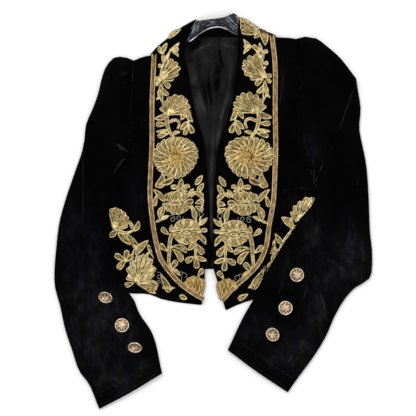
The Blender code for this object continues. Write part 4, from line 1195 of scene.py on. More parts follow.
# %% Fans, blooms, shell, buds and wires
FAN = ((-84, 171), 11.5, STRAW,
       ((-94, 187), (-88, 198), (-78, 206), (-66, 210), (-54, 208), (-46, 201), (-41, 190), (-40, 178)))
LEFT_TOP_FAN = ((-101, 233), 10, STRAW,
                ((-83, 275), (-73, 274), (-64, 268), (-59, 259), (-62, 248), (-71, 238)))
RIGHT_TOP_FAN = ((99, 240), 11.5, STRAW,
                 ((74, 282), (62, 279), (53, 270), (51, 260), (55, 249), (66, 239)))
SHELL = (((-44, -139), (-50, -126)), ((-39, -143), (-44, -119)), ((-34, -147), (-36, -116)),
         ((-28, -151), (-28, -117)), ((-22, -154), (-20, -121)))
BLOOM = (
    ((-82, 18), (-90, 26), 9), ((-79, 17), (-83, 32), 10),
    ((-73, 16), (-74, 35), 11), ((-67, 16), (-64, 36), 11),
    ((-61, 16), (-54, 34), 11), ((-56, 17), (-46, 31), 10),
    ((-83, 14), (-90, 9), 9), ((-79, 15), (-79, -1), 10),
    ((-73, 15), (-69, -6), 11), ((-66, 15), (-60, -6), 11),
    ((-59, 15), (-51, -2), 11), ((-54, 15), (-44, 4), 10),
)
ROSE = (
    ((-54, -38), (-74, -39), 11), ((-42, -39), (-21, -40), 10),
    ((-56, -36), (-72, -31), 10), ((-55, -35), (-67, -21), 11),
    ((-51, -34), (-57, -15), 12), ((-47, -34), (-46, -14), 12),
    ((-43, -35), (-35, -16), 12), ((-41, -36), (-26, -22), 11),
    ((-40, -39), (-22, -33), 10), ((-41, -42), (-25, -46), 10),
    ((-45, -44), (-34, -57), 12), ((-50, -44), (-46, -60), 12),
    ((-54, -43), (-59, -58), 12), ((-56, -40), (-70, -48), 11),
)
LENSES = (
    ((-85, 14.5), (-55, 15.5), 8, MAROON, 2.4), ((-63, -40), (-34, -38.5), 16, STRAW, 2.4),
    ((-56, -40), (-41, -39), 7, MAROON, 4.0),
)
MAROON_PETALS = (((-54, 16), (-36, 18), 10, 0), ((-100, 48), (-72, 58), 11, -2))
CURLS = ((-73, -15, 3.8, 60), (-62, -12, 3.8, 300), (-22, -6, 4.2, 120))
WIRES = (
    ((-59, -108), (-54, -110.5), (-49, -112.5), (-47.5, -117), (-51, -119)),
    ((-55, -110), (-57, -118), (-57, -130)),
)
print("petals of the blooms:", len(BLOOM) + len(ROSE))

# %% [markdown]
# ## From one lapel to the other
#
# The right lapel answers the left one like a mirror, but not exactly, as hand work does. Above
# its middle it is a little wider. Below, its flowers lie further in and sag near the front edge.
# A mirror line and a few measured shifts, with NumPy filling in between them, say all that.

# %% Mirror a point to the right lapel
MIRROR_LINE = -3.3
RIGHT_HEIGHTS = (-160, 60, 100, 140, 180, 240)
RIGHT_SHIFTS = (-6.0, 0.2, 1.9, 0.5, 3.5, 5.0)
RIGHT_WIDER = 0.084
WIDER_FROM = 20
WIDER_ABOVE = (50, 80)
RIGHT_INWARD = 3.5
INWARD_ACROSS = (50, 95)
INWARD_HEIGHTS = (-115, -100, 50, 80)
INWARD_SHARES = (0.6, 1, 1, 0)
RIGHT_SAG = 3.5
SAG_ACROSS = (20, 40)
SAG_HEIGHTS = (-20, 10, 60, 80)


def same(point):
    return Vector(point)


def mirrored(point):
    """A point of the left lapel on the right one."""
    x, y = 2 * MIRROR_LINE - point[0], point[1]
    outward = RIGHT_WIDER * (x - WIDER_FROM) * np.interp(y, WIDER_ABOVE, (0, 1))
    inward = np.interp(x, INWARD_ACROSS, (RIGHT_INWARD, 0)) * np.interp(y, INWARD_HEIGHTS, INWARD_SHARES)
    sag = np.interp(x, SAG_ACROSS, (RIGHT_SAG, 0)) * np.interp(y, SAG_HEIGHTS, (0, 1, 1, 0))
    return Vector((x + outward - inward, y + np.interp(y, RIGHT_HEIGHTS, RIGHT_SHIFTS) - sag))


print("the left lapel's point (-60, 100) is", [round(c, 1) for c in mirrored((-60, 100))], "on the right")

# %% [markdown]
# ## The big round flower
#
# One great flower fills the width of each lapel. It is two rings of rays, all bent the same way
# round like a wheel: twenty pale ones and twelve deeper ones on top. It isn't quite round: it is
# squashed, slightly wavy, and swells towards the braid. A coil of cord is its heart.

# %% Rings of rays and a coiled heart
ROUND_FLOWER = (-66.8, 98.0)
ROUND_SQUASH = 0.93
ROUND_WAVE = 0.04
ROUND_BULGE = 0.09
BULGE_TOWARDS = math.radians(218)
# A ring is its radii, how many rays, their width and bend, its layer, and its edge and tone
RINGS = (
    ((8, 40), 20, 12.2, 5.5, 0, PALE, STRAW),
    ((5, 22), 12, 8.8, 3.0, 2.4, WARM, DEEP),
)
STAGGER = 0.3
KNOT_REACH = 7.4
KNOT_LIFT = 4.3
KNOT_DOME = 1.6
KNOT_POINTS = 12


def round_flower(work, place, flip):
    """Rays from an inner to an outer radius, all bent the same way round."""
    middle = Vector(ROUND_FLOWER)
    for (inner, outer), petals, width, twist, layer, edge, tone in RINGS:
        for k in range(petals):
            angle = math.tau * k / petals
            out = Vector((math.cos(angle), ROUND_SQUASH * math.sin(angle)))
            way = 1 + ROUND_WAVE * math.sin(3 * angle + layer)
            way += ROUND_BULGE * max(0.0, math.cos(angle - BULGE_TOWARDS)) ** 2
            work.petal("ray", place(middle + out * inner), place(middle + out * outer * way), width,
                       twist * flip, layer + STAGGER * (k % 2), tone, edge)


def coiled_heart(work, x, y):
    """A coil of cord that fills the middle of a flower."""
    work.last = work.height(x, y, 0.0)
    steps = int(KNOT_REACH / STEM_PITCH * KNOT_POINTS)
    line = []
    for k in range(steps):
        angle = k * math.tau / KNOT_POINTS
        out = KNOT_REACH * (1 - k / steps)
        spot = (x + out * math.cos(angle), y + out * math.sin(angle))
        line.append((*spot, work.ground(*spot) + KNOT_LIFT + KNOT_DOME * (1 - out / KNOT_REACH) ** 0.5))
    work.cord(line, DEEP, STEM_CORD)


print("rays of the round flower:", sum(row[1] for row in RINGS))

# %% [markdown]
# ## The flowers of the lapels
#
# Now everything goes on to both lapels. The same rows serve twice, once as they are and once
# mirrored, and what bends must bend the other way on the right, which is what flip is for.

# %% Lay the goldwork on the lapels
FAN_LEAN = 0.7
SHELL_WIDTH = 11.5
BLOOM_OVERLAP = 2.2
BLOOM_LEAN = 0.22
LEAF_LAYER = 0.4
OWN_FLOWERS = {
    "left": (same, 1, LEFT_TOP, LEFT_TOP_FAN, (-67.3, 95.0)),
    "right": (mirrored, -1, RIGHT_TOP, RIGHT_TOP_FAN, (61.0, 98.2)),
}


def fan(work, place, base, width, tone, tips, lean, bias=0.0):
    """Rays from one base, which lean apart."""
    middle = (len(tips) - 1) / 2
    for k, tip in enumerate(tips):
        work.petal("ray", place(base), place(tip), width, lean * (k - middle) + bias, STAGGER * (k % 2), tone)


def lapel_flowers(work, place, flip):
    """The big flowers that both lapels share."""
    fan(work, place, *FAN, FAN_LEAN * flip)
    for k, (base, tip) in enumerate(SHELL):
        work.petal("petal", place(base), place(tip), SHELL_WIDTH, 0, STAGGER * (k % 2),
                   (WARM, DEEP)[k % 2], WARM)
    round_flower(work, place, flip)
    for k, (base, tip, width) in enumerate(BLOOM + ROSE):
        lean = (tip[0] - base[0]) * (1 if tip[1] > base[1] else -1)
        work.petal("petal", place(base), place(tip), width + BLOOM_OVERLAP, BLOOM_LEAN * lean * flip,
                   STAGGER * (k % 3), (PALE, STRAW)[k % 2])
    for base, tip, width, tone, layer in LENSES:
        work.petal("bud", place(base), place(tip), width, 0, layer, tone)
    for route in WIRES:
        work.wire([place(point) for point in route])
    for base, tip, width, bend in MAROON_PETALS:
        work.petal("petal", place(base), place(tip), width, bend * flip, 1, MAROON)


for side, (place, flip, top, top_fan, heart) in OWN_FLOWERS.items():
    height = height_reader(cloths["lapel_" + side])
    work = Goldwork(height, lambda x, y: height(x, y) > 0)
    for strands, *points in STEMS:
        work.stem([place(p) for p in points], strands)
    for k, (kind, base, tip, width, bend) in enumerate(LEAVES):
        work.petal(kind, place(base), place(tip), width, bend * flip, LEAF_LAYER, (PALE, STRAW, STRAW)[k % 3])
    for kind, base, tip, width, bend in top:
        work.petal(kind, base, tip, width, bend)
    fan(work, same, *top_fan, FAN_LEAN * flip)
    coiled_heart(work, *heart)
    for x, y, size, turn in CURLS:
        work.curl(*place((x, y)), size, turn, flip)
    lapel_flowers(work, place, flip)
    work.pieces("goldwork_lapel_" + side)

# %% [markdown]
# ## The flowers of the fronts
#
# More goldwork grows along the hem of each front and runs in under the sleeves. The two sides
# are alike in kind but not in place, because each was cut from another part of the same pattern.
# A petal whose tip or middle lies under a sleeve is left out, and what remains dips at the
# sleeve's edge, so that the sleeve covers it.

# %% Lay the goldwork on the fronts
FRONTS = {
    "left": (
        (((-182, -32), 11.5, STRAW, ((-184, 5), (-175, 7), (-167, 4), (-159, -1), (-153, -9), (-151, -17),
                            (-154, -25), (-163, -31))),
         ((-139, -129), 14.5, PALE, ((-155, -117), (-153, -100), (-145, -88), (-133, -78), (-121, -76),
                             (-111, -84), (-104, -100), (-107, -111), (-117, -122)))),
        (("bud", (-172, -33), (-186, -47), 11, 0), ("leaf", (-142, -36), (-134, -17), 10, -2),
         ("leaf", (-142, -34), (-150, -17), 7, 1), ("leaf", (-172, -38), (-148, -61), 11, 0),
         ("leaf", (-156, -41), (-130, -66), 11, -2), ("leaf", (-140, -79), (-116, -52), 12, 2),
         ("leaf", (-136, -68), (-145, -62), 6, 0), ("leaf", (-119, -60), (-107, -85), 9, 2),
         ("leaf", (-115, -74), (-121, -80), 5, 0), ("petal", (-156, -90), (-177, -78), 11, 0),
         ("petal", (-158, -92), (-155, -70), 10, 0), ("petal", (-160, -92), (-144, -79), 10, 0),
         ("petal", (-156, -86), (-172, -104), 12, 0), ("petal", (-142, -129), (-159, -134), 10, 0),
         ("petal", (-138, -130), (-104, -140), 14, 0), ("leaf", (-122, -137), (-103, -148), 9, 0),
         ("petal", (-95, -112), (-78, -146), 13, 0), ("leaf", (-92, -138), (-68, -138), 7, 0),
         ("leaf", (-61, -152), (-47, -158), 9, 0)),
        ((3, (-170, -36), (-156, -39), (-142, -34)),
         (3, (-124, -127), (-110, -126), (-102, -132), (-104, -142)),
         (2, (-136, -62), (-144, -74), (-146, -88))),
        ((-97, -118, 4, 40), (-98, -127, 3, 200)),
    ),
    "right": (
        (((149, -22), 11.5, PALE, ((142, 0), (148, 11), (158, 19), (170, 26), (181, 25), (184, 14))),),
        (("leaf", (144, -29), (122, -11), 14, -2), ("leaf", (138, -28), (141, -9), 8, 0),
         ("leaf", (127, -62), (111, -40), 10, 1), ("petal", (111, -50), (104, -77), 10, 0),
         ("petal", (121, -66), (106, -90), 12, 0), ("leaf", (116, -70), (106, -66), 6, 0),
         ("leaf", (136, -44), (146, -60), 9, 0), ("petal", (107, -89), (99, -102), 9, 0),
         ("petal", (92, -103), (70, -141), 15, 0), ("leaf", (84, -124), (62, -139), 7, 0),
         ("petal", (63, -149), (45, -159), 10, 0)),
        ((3, (137, -28), (146, -28), (156, -24)),
         (3, (148, -29), (136, -41), (125, -56), (118, -72))),
        ((95, -104, 4, 120), (88, -103, 3, 300)),
    ),
}
FRONT_LEAN = 0.5
FRONT_BIAS = -0.25
LEAF_STAGGER = 0.25

for side, (fans, leaves, stems, curls) in FRONTS.items():
    height = height_reader(cloths["front_" + side])
    over = height_reader(cloths["sleeve_top_" + side])
    work = Goldwork(height, lambda x, y: height(x, y) > 0 and not over(x, y),
                    lambda x, y: over(x, y) > 0)
    for strands, *points in stems:
        work.stem(points, strands)
    for row in fans:
        fan(work, same, *row, FRONT_LEAN, FRONT_BIAS)
    for k, (kind, base, tip, width, bend) in enumerate(leaves):
        work.petal(kind, base, tip, width, bend, LEAF_STAGGER * (k % 4))
    for curl in curls:
        work.curl(*curl)
    work.pieces("goldwork_front_" + side)

# %% [markdown]
# ## The satin lining
#
# Inside the neck one sees a plain grey lining, which is lighter than the velvet and shows its
# long soft folds. The tops of its folds get painted light and the troughs painted shade, and it
# gets painted shade where it runs in under the lapels.

# %% The lining
FINEST = 1.8
LINING_WALL = 1.0
LINING_RIPPLE = 0.35
LINING_SEED = 31.0

LINING_SATIN = principled("lining_satin", BLACK, 0.55, specular_ior_level=0.01)
weave = object_noise(LINING_SATIN, 26.0, 4.0, (1.6, 0.8, 1.0), 6)
lining_patches = ramp(LINING_SATIN, weave, "Fac", ((0.34, 0.35), (0.66, 1.35)))
# Painted light on the tops of the folds, painted shade in their troughs
lining_fold_light_and_shade = attribute_light(LINING_SATIN, "relief_and_light", -1.2, 1.8,
                               ((0.0, (0.0010, 0.0010, 0.0011)), (0.4, (0.0115, 0.0115, 0.0120)),
                                (1.0, (0.0380, 0.0380, 0.0395))))
# Painted shade where the lining runs in under the lapels
lining_shade = attribute_light(LINING_SATIN, "wear_and_light", 0.0, 1.0, ((0.0, 1.0), (1.0, 0.06)))
lining_colour = blend(LINING_SATIN, "MULTIPLY", lining_patches, lining_fold_light_and_shade)
paint(LINING_SATIN, blend(LINING_SATIN, "MULTIPLY", lining_colour, lining_shade))
bump(LINING_SATIN, ((object_noise(LINING_SATIN, 1400.0, 1.0), 0.25),), 0.1)
lining_bm = cloth_from("back_lining", LINING_CREASES, False, LINING_WALL, LINING_RIPPLE, LINING_SEED,
                       FINEST, WEAR_SHEEN_AND_SHADE["back_lining"])
cloths["back_lining"] = finished_piece("cloth_back_lining", lining_bm, (LINING_SATIN,),
                                       ("back_lining",))

# %% [markdown]
# ## The neck band
#
# The turned-down band at the neck is crushed velvet. Its blue-grey patches are painted sheen,
# where the pile would catch the light, and its crests get painted highlights. The cloth helper
# serves again. Only the creases are much finer here, because the pile was pressed into sharp
# little ridges.

# %% The band of crushed velvet
BAND_WALL = 1.6
BAND_RIPPLE = 0.3
BAND_SEED = 57.0
BAND_CREASES = (
    (0.9, 1.5, (24, 351), (34, 342), (46, 331)),
    (0.8, 1.4, (20, 349), (30, 339), (44, 326)),
    (0.6, 1.3, (17, 347), (27, 337), (40, 324)),
    (1.0, 1.6, (-33, 342), (-39, 331), (-47, 317)),
    (0.8, 1.5, (-29, 340), (-34, 328), (-41, 315)),
    (0.6, 1.6, (-24, 338), (-28, 328), (-33, 318)),
    (0.5, 2.0, (-8, 338), (2, 341), (12, 340)),
    (0.5, 2.0, (-14, 332), (-4, 336), (6, 336)),
)

BAND_VELVET = principled("band_velvet", (0.02, 0.024, 0.032), 0.5, specular_ior_level=0.2)
relief_and_light = object_noise(BAND_VELVET, 210.0, 5.0, (1.0, 1.6, 1.0), 30)
# Painted sheen: blue-grey patches where the crushed pile would catch the light
band_crush_and_sheen = ramp(BAND_VELVET, relief_and_light, "Fac",
                   ((0.38, (0.002, 0.003, 0.006)), (0.56, (0.018, 0.022, 0.031)),
                    (0.72, (0.12, 0.13, 0.155))))
# Painted highlights on the crests of the pressed ridges
band_crest_highlights = attribute_light(BAND_VELVET, "relief_and_light", 0.2, 1.0, ((0.0, BLACK), (1.0, (0.36, 0.39, 0.46))))
paint(BAND_VELVET, blend(BAND_VELVET, "ADD", band_crush_and_sheen, band_crest_highlights))
bump(BAND_VELVET, ((relief_and_light, 0.8),), 0.7)
band_bm = cloth_from("collar_stand", BAND_CREASES, False, BAND_WALL, BAND_RIPPLE, BAND_SEED, FINEST)
cloths["collar_stand"] = finished_piece("cloth_collar_stand", band_bm, (BAND_VELVET,),
                                        ("collar_stand",))

# %% [markdown]
# ## The piping
#
# A shiny piping, which is satin folded round a cord, closes the band at its foot. Its colour has
# a painted sheen in patches, and painted glints and painted shade in stretches listed along its
# length. The band's height beside it, evened out, tells how high it lies.

# %% The piping of the neck band
PIPING_PATH = ((-43, 304.8), (-34.5, 310.8), (-26, 317.5), (-18, 322.8), (-9, 327.6), (0, 330.2),
               (10, 330.9), (19, 329.2), (26, 326.2), (34, 321.4), (43.5, 317))
PIPING_RADIUS = 1.0
PIPING_STEP = 2.0
PIPING_REACH = 3
PIPING_WINDOW = 3
PIPING_SEAT = 0.4
PIPING_ROUNDNESS = 3

PIPING_SATIN = principled("piping_satin", (0.52, 0.52, 0.55), 0.35, specular_ior_level=0.15)
# Painted sheen in patches over the grey satin
gloss = object_noise(PIPING_SATIN, 90.0, 2.0)
piping_colour = ramp(PIPING_SATIN, gloss, "Fac", ((0.36, (0.55, 0.55, 0.58)), (0.6, (1.0, 1.0, 1.0))))
along = node(PIPING_SATIN, "ShaderNodeSeparateXYZ")
wire(PIPING_SATIN, node(PIPING_SATIN, "ShaderNodeTexCoord"), "Object", along, "Vector")
# Painted glints and painted shade, stretch by stretch along the piping
glints = measured(PIPING_SATIN, along, "X", -0.045, 0.045,
                  ((0.0, 0.3), (0.08, 0.85), (0.19, 0.22), (0.33, 0.3), (0.42, 0.85), (0.5, 1.0), (0.7, 0.75),
                   (0.82, 0.15), (1.0, 0.06)))
paint(PIPING_SATIN, blend(PIPING_SATIN, "MULTIPLY", piping_colour, glints))
band_height = height_reader(cloths["collar_stand"])
path = smooth_path(PIPING_PATH, PIPING_STEP)
levels = [max(band_height(spot.x + PIPING_REACH * dx, spot.y + PIPING_REACH * dy)
              for dx in (-1, 0, 1) for dy in (0, 1)) for spot in path]
for k in range(1, len(levels)):
    levels[k] = levels[k] or levels[k - 1]
piping_line = []
for k, spot in enumerate(path):
    around = levels[max(0, k - PIPING_WINDOW):k + PIPING_WINDOW + 1]
    piping_line.append((spot.x, spot.y, sum(around) / len(around) + PIPING_RADIUS * PIPING_SEAT))
piping = cord_piece("neck_piping", [(piping_line, 0, 1.0, False)], (PIPING_SATIN,),
                    PIPING_RADIUS, PIPING_ROUNDNESS)
print("piping:", len(piping_line), "points, at", round(min(levels), 1), "to", round(max(levels), 1), "mm")

# %% [markdown]
# ## The braid's tape
#
# The braid that frames each lapel is a narrow bronze tape with slanting purl stitches, held
# between two twisted cords of pale gold. A grid makes the tape: its columns follow the braid's
# path and its rows lie across it, slightly crowned as a woven tape is.

# %% Where the braid runs, and its tape
LEFT_BRAID = ((-111, 283), (-114, 218), (-115, 182), (-115, 121), (-118, 56), (-118, 20),
              (-114, -16), (-111, -38), (-102, -79), (-92, -99), (-73, -123), (-55, -140),
              (-33, -155), (-19, -162))
RIGHT_BRAID = ((110, 318), (116, 260), (116, 182), (117, 121), (116, 81), (113, 20), (105, -27),
               (100, -62), (87, -94), (65, -119), (43, -138), (20, -163))
BRAID_WIDTH = 9.0
TAPE_STEP = 2.5
TAPE_STRIPS = 4
TAPE_THICKNESS = 1.0
TAPE_START = 1.4
TAPE_MARGINS = 2.2
TAPE_SINK = 0.3
TAPE_CROWN = 0.35
SKIN_LEVEL = 0.015

BRONZE_TAPE = thread_metal("bronze_tape", (0.16, 0.085, 0.03), (0.06, 0.032, 0.012), 0.5)
BRAID_PALE = thread_metal("braid_pale", (0.84, 0.68, 0.42), (0.42, 0.30, 0.15), 0.38, 120.0)
BRAID_GOLD = thread_metal("braid_gold", (0.66, 0.40, 0.15), (0.20, 0.125, 0.04), 0.42, 90.0)


def skin_height(tree):
    """A function that tells the height of a skin, also a little way outside it."""
    def height(x, y):
        hit = tree.ray_cast(Vector((x, y, HIGH)) * MM, -UP)[0]
        if hit is None:
            hit = tree.find_nearest(Vector((x * MM, y * MM, SKIN_LEVEL)))[0]
        return hit.z / MM
    return height


def braid_tape(side, path, inward, height):
    """A woven tape along a path, closed below."""
    columns = len(path)
    bm = bmesh.new()
    bmesh.ops.create_grid(bm, x_segments=columns - 1, y_segments=TAPE_STRIPS, size=0.5)
    for vertex in bm.verts:
        column = round((vertex.co.x + 0.5) * (columns - 1))
        across = vertex.co.y + 0.5
        offset = TAPE_START + across * (BRAID_WIDTH - TAPE_MARGINS)
        spot = path[column] + across_path(path, column) * inward * offset
        crown = TAPE_CROWN * math.sin(math.pi * across)
        vertex.co = Vector((spot.x, spot.y, height(*spot) - TAPE_SINK + crown)) * MM
    turn_faces_up(bm)
    give_wall(bm, TAPE_THICKNESS)
    bmesh.ops.recalc_face_normals(bm, faces=bm.faces)
    finished_piece("braid_tape_" + side, bm, (BRONZE_TAPE,), ("braid_" + side,))


print("braid:", BRAID_WIDTH, "mm wide")

# %% [markdown]
# ## The braid's cords
#
# A twisted cord is two plies, and each ply is a spiral round the path, so a sine and a cosine
# place its points. The purls are short stiff coils sewn slantwise over the tape, mostly in the
# deeper gold, now and then in the pale one.

# %% Twisted cords and purl stitches
PLY = 0.62
PLY_SPREAD = 0.55
PLY_LIFT = 0.25
TWIST_LENGTH = 4.4
TURN_POINTS = 7
OUTER_CORD = 1.5
INNER_CORD = BRAID_WIDTH - 0.9
PURL = 0.5
PURL_STEP = 1.9
PURL_SLANT = 1.5
PURL_START = 3.1
PURL_END = BRAID_WIDTH - 2.6
PURL_LIFT = 0.2
PURL_CROWN = 0.35
PURL_SEED = 5
GOLD_SHARE = 0.9


def beside(path, offset):
    """Points beside a path, each a distance to the left of the path's run."""
    return [spot + across_path(path, k) * offset for k, spot in enumerate(path)]


def twisted_cord(path, height):
    """Two plies that wind round a path."""
    plies = []
    for ply in range(2):
        spiral = []
        for k, spot in enumerate(path):
            angle = math.tau * k / TURN_POINTS + math.pi * ply
            put = spot + across_path(path, k) * PLY_SPREAD * math.cos(angle)
            lift = PLY_SPREAD * math.sin(angle) + PLY_LIFT
            spiral.append((put.x, put.y, height(*spot) + lift))
        plies.append((spiral, 0, 1.0, False))
    return plies


def purls(path, inward, height):
    """Slanting stitches over the tape."""
    draw = random.Random(inward + PURL_SEED)
    stitches = []
    for k, (a, b) in enumerate(zip(beside(path, inward * PURL_START), beside(path, inward * PURL_END))):
        run = path[k] - path[k - 1] if k else path[1] - path[0]
        slant = run.normalized() * PURL_SLANT
        middle = a.lerp(b, 0.5)
        top = height(*middle) + PURL_LIFT
        line = [(*(a - slant), top), (*middle, top + PURL_CROWN), (*(b + slant), top)]
        stitches.append((line, 1 if draw.random() < GOLD_SHARE else 0, PURL / PLY, False))
    return stitches


for side, route, inward in (("left", LEFT_BRAID, 1), ("right", RIGHT_BRAID, -1)):
    height = skin_height(solid_skins("braid_" + side)[1])
    braid_tape(side, smooth_path(route, TAPE_STEP)[1:], inward, height)
    fine = smooth_path(route, TWIST_LENGTH / TURN_POINTS)[2:]
    lines = []
    for offset in (OUTER_CORD, INNER_CORD):
        lines += twisted_cord(beside(fine, inward * offset), height)
    lines += purls(smooth_path(route, PURL_STEP)[3:-1], inward, height)
    cord_piece("braid_cords_" + side, lines, (BRAID_PALE, BRAID_GOLD), PLY)
    print("braid", side, "has", len(lines), "cords and purls")

# %% [markdown]
# ## The metals of the buttons
#
# Each cuff has three cast buttons in an antique finish. Wear polishes the raised parts and never
# reaches the groove, so the rim, the flower and the groove each get a metal of their own.

# %% Metals for rim, flower and groove
BUTTON_METAL = principled("button_metal", (0.70, 0.50, 0.36), 0.34, metallic=0.85)
wear_and_light = mottled(BUTTON_METAL, 300.0, 3.0, (0.36, (0.24, 0.15, 0.075)), (0.58, (0.74, 0.56, 0.35)))
bump(BUTTON_METAL, ((wear_and_light, 0.4),), 0.2)
GROOVE_METAL = principled("groove_metal", (0.10, 0.055, 0.03), 0.55, metallic=0.6)
mottled(GROOVE_METAL, 500.0, 3.0, (0.35, (0.045, 0.022, 0.012)), (0.65, (0.18, 0.10, 0.055)))
RIM_METAL = principled("rim_metal", (0.86, 0.76, 0.64), 0.3, metallic=0.8)
mottled(RIM_METAL, 160.0, 3.0, (0.36, (0.52, 0.41, 0.28)), (0.6, (0.90, 0.78, 0.60)))
METALS = (BUTTON_METAL, GROOVE_METAL, RIM_METAL)
print("button metals:", len(METALS))

# %% [markdown]
# ## The face of a button
#
# The face is a raised flower of six petals in a ring of beads. Two waves round the middle lift
# it, one for the petals and one for the beads, and whatever lies low between them is dark ground.

# %% How far the face is raised
PETALS = 6
PETAL_LIFT = 1.0
PETAL_TWIST = 0.3
PETAL_FOOT = 0.12
PETAL_ROUNDNESS = 0.6
BETWEEN_PETALS = 0.42
PETAL_ENDS = 0.93
HEART = 2.4
HEART_LIFT = 0.3
HEART_EDGE = 0.85
FACE_RADIUS = 7.4
BEADS = 11
BEAD_LIFT = 0.75
BEAD_RING = (7.9, 10.3)
BETWEEN_BEADS = 0.8


def raised_face(x, y):
    """How far a point of the button's face is raised, and if it belongs to the dark ground."""
    out, angle = math.hypot(x, y), math.atan2(y, x)
    if out < HEART:
        dome = PETAL_LIFT * math.sqrt(max(0.0, 1 - (out / HEART) ** 2))
        return dome + HEART_LIFT, out > HEART * HEART_EDGE
    if out < FACE_RADIUS:
        wave = abs(math.cos(PETALS / 2 * angle + PETAL_TWIST * out / FACE_RADIUS))
        share = (out - HEART) / (FACE_RADIUS - HEART)
        body = math.sin(math.pi * min(1.0, PETAL_FOOT + share)) ** 0.5
        lifted = PETAL_LIFT * wave ** PETAL_ROUNDNESS * body
        return lifted, wave < BETWEEN_PETALS or share > PETAL_ENDS
    if BEAD_RING[0] < out < BEAD_RING[1]:
        share = (out - BEAD_RING[0]) / (BEAD_RING[1] - BEAD_RING[0])
        bead = max(0.0, math.cos(BEADS * angle))
        return BEAD_LIFT * math.sin(math.pi * share) * bead ** 0.5, bead < BETWEEN_BEADS
    return 0.0, False


print("a petal's crest rises", round(raised_face(4.5, 0)[0], 2), "mm")

# %% [markdown]
# ## Casting the buttons
#
# Spinning half a section round the middle gives the turned shape with its rim and groove. The
# face is lifted next, each face gets its metal, and the button goes to its place on the sleeve.
# Three hang loose on their thread and lean over, so they are tilted and raised a little.

# %% Turn the buttons and raise their flowers
# A row is the place, the tilt and its direction in degrees, and how far the tilt lifts the button
BUTTONS = {
    "button_left_1": (-194, -156, 45, 160, 1.6), "button_left_2": (-164, -205, 4, 200, 0.0),
    "button_left_3": (-141, -246, 49, 172, 2.0), "button_right_1": (150, -114, 8, 30, 0.0),
    "button_right_2": (130, -174, 6, 220, 0.0), "button_right_3": (106, -222, 28, 135, 0.4),
}
# Half a section through the button: how far out and how high
SECTION = ((0, -3.4), (2.2, -3.4), (2.6, -0.9), (10.9, -0.6), (12.1, 0.0), (12.6, 1.0), (12.6, 2.0),
           (12.2, 2.7), (11.6, 2.9), (11.0, 2.6), (10.6, 1.8), (10.1, 1.3), (9.6, 1.2), (8.9, 1.4),
           (8.2, 1.7), (7.5, 1.8), (6.7, 1.9), (5.9, 2.0), (5.0, 2.1), (4.0, 2.2), (3.0, 2.3),
           (2.0, 2.4), (1.0, 2.5), (0, 2.5))
BUTTON_STEPS = 60
FACE_LEVEL = 1.0
INSIDE_RIM = 10.7


def cast_button():
    """A button round the origin, with its raised face and its three metals."""
    bm = bmesh.new()
    profile = [bm.verts.new((out * MM, 0, z * MM)) for out, z in SECTION]
    edges = [bm.edges.new(pair) for pair in zip(profile, profile[1:])]
    bmesh.ops.spin(bm, geom=profile + edges, axis=UP, angle=math.tau, steps=BUTTON_STEPS, use_merge=True)
    bmesh.ops.remove_doubles(bm, verts=bm.verts, dist=WELD * MM)
    bmesh.ops.recalc_face_normals(bm, faces=bm.faces)
    dark = set()
    for vertex in bm.verts:
        if vertex.co.z > FACE_LEVEL * MM and vertex.co.xy.length < INSIDE_RIM * MM:
            lifted, ground = raised_face(vertex.co.x / MM, vertex.co.y / MM)
            vertex.co.z += lifted * MM
            if ground or lifted == 0:
                dark.add(vertex)
    for face in bm.faces:
        if sum(vertex in dark for vertex in face.verts) > 2:
            face.material_index = 1
        elif face.calc_center_median().xy.length > INSIDE_RIM * MM:
            face.material_index = 2
    return bm


shank_feet = []
for name, (x, y, tilt, towards, lift) in BUTTONS.items():
    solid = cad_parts[name]
    heights = [(solid.matrix_world @ vertex.co).z for vertex in solid.data.vertices]
    level = (min(heights) + max(heights)) / 2 + lift * MM
    lean = Matrix.Rotation(math.radians(towards), 4, "Z") @ Matrix.Rotation(math.radians(tilt), 4, "X")
    placed = Matrix.Translation((x * MM, y * MM, level)) @ lean
    bm = cast_button()
    bmesh.ops.transform(bm, matrix=placed, verts=bm.verts)
    shank_feet.append((name.split("_")[1], placed @ Vector((0, 0, SECTION[0][1] * MM)) / MM))
    finished_piece("cast_" + name, bm, METALS, (name,))

# %% [markdown]
# ## Seams and stitches
#
# The hems, the cuffs and the front edges are stitched down a few millimetres from the edge. A
# stitch is one short cord of few sides, because there are hundreds of them. The same thread,
# wound thick, is what a button hangs on where it leans away from the sleeve.

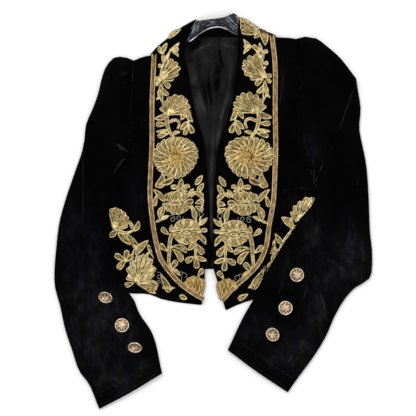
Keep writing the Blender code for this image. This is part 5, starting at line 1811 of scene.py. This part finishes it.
# %% Rows of stitches
STITCH = 2.3
STITCH_GAP = 1.5
STITCH_POINTS = 4
STITCH_RADIUS = 0.28
STITCH_SINK = 0.05
THREAD_SHANK = 4.0
LEFT_CUFF = ((-205, -356), (-150, -327), (-92, -292))
RIGHT_CUFF = ((134, -326), (80, -290), (26, -250))
LEFT_HEM = ((-60, -164), (-94, -158), (-114, -150), (-150, -147))
RIGHT_HEM = ((43, -169), (72, -159), (115, -143), (150, -132))
# A row is the cloth, the edge, how far from the edge, and how many points to skip at its ends
STITCH_ROWS = (
    ("sleeve_top_left", LEFT_CUFF, 5.5, 8), ("sleeve_top_left", LEFT_CUFF, 26.0, 8),
    ("sleeve_top_right", RIGHT_CUFF, -5.5, 8), ("sleeve_top_right", RIGHT_CUFF, -26.0, 8),
    ("front_left", LEFT_HEM, -4.5, 0), ("front_right", RIGHT_HEM, 4.5, 0),
)

SEWING_THREAD = principled("sewing_thread", (0.010, 0.010, 0.012), 0.5, specular_ior_level=0.4)
mottled(SEWING_THREAD, 900.0, 2.0, (0.4, (0.006, 0.006, 0.007)), (0.6, (0.016, 0.016, 0.019)))
readers = {name: height_reader(cloths[name]) for name in sorted({row[0] for row in STITCH_ROWS})}
pitch = STITCH + STITCH_GAP
stitches = []
for name, route, offset, skip in STITCH_ROWS:
    height = readers[name]
    line = beside(smooth_path(route, pitch / STITCH_POINTS), offset)
    for k in range(skip, len(line) - skip - STITCH_POINTS, STITCH_POINTS):
        a, b = line[k], line[k].lerp(line[k + STITCH_POINTS], STITCH / pitch)
        za, zb = height(*a), height(*b)
        if za and zb:
            crest = (*a.lerp(b, 0.5), (za + zb) / 2 + STITCH_RADIUS)
            stitches.append(([(*a, za - STITCH_SINK), crest, (*b, zb - STITCH_SINK)], 0, 1.0, False))
for side, foot in shank_feet:
    sewn = readers["sleeve_top_" + side](foot.x, foot.y) - THREAD_SHANK * STITCH_RADIUS
    stitches.append(([tuple(foot), (foot.x, foot.y, min(foot.z, sewn))], 0, THREAD_SHANK, False))
    print("thread shank:", round(foot.z - sewn, 1), "mm long")
cord_piece("stitches", stitches, (SEWING_THREAD,), STITCH_RADIUS, 0)
print("stitches:", len(stitches))

# %% [markdown]
# ## Counting the sheets
#
# The table of cloth gives the size that each sheet was cut to, flat, and what it lies on. A jacket's
# pieces aren't rectangles, so each row of the table also holds the piece's own area. This cell
# counts the sheets.

print("sheets:", len(cloths))
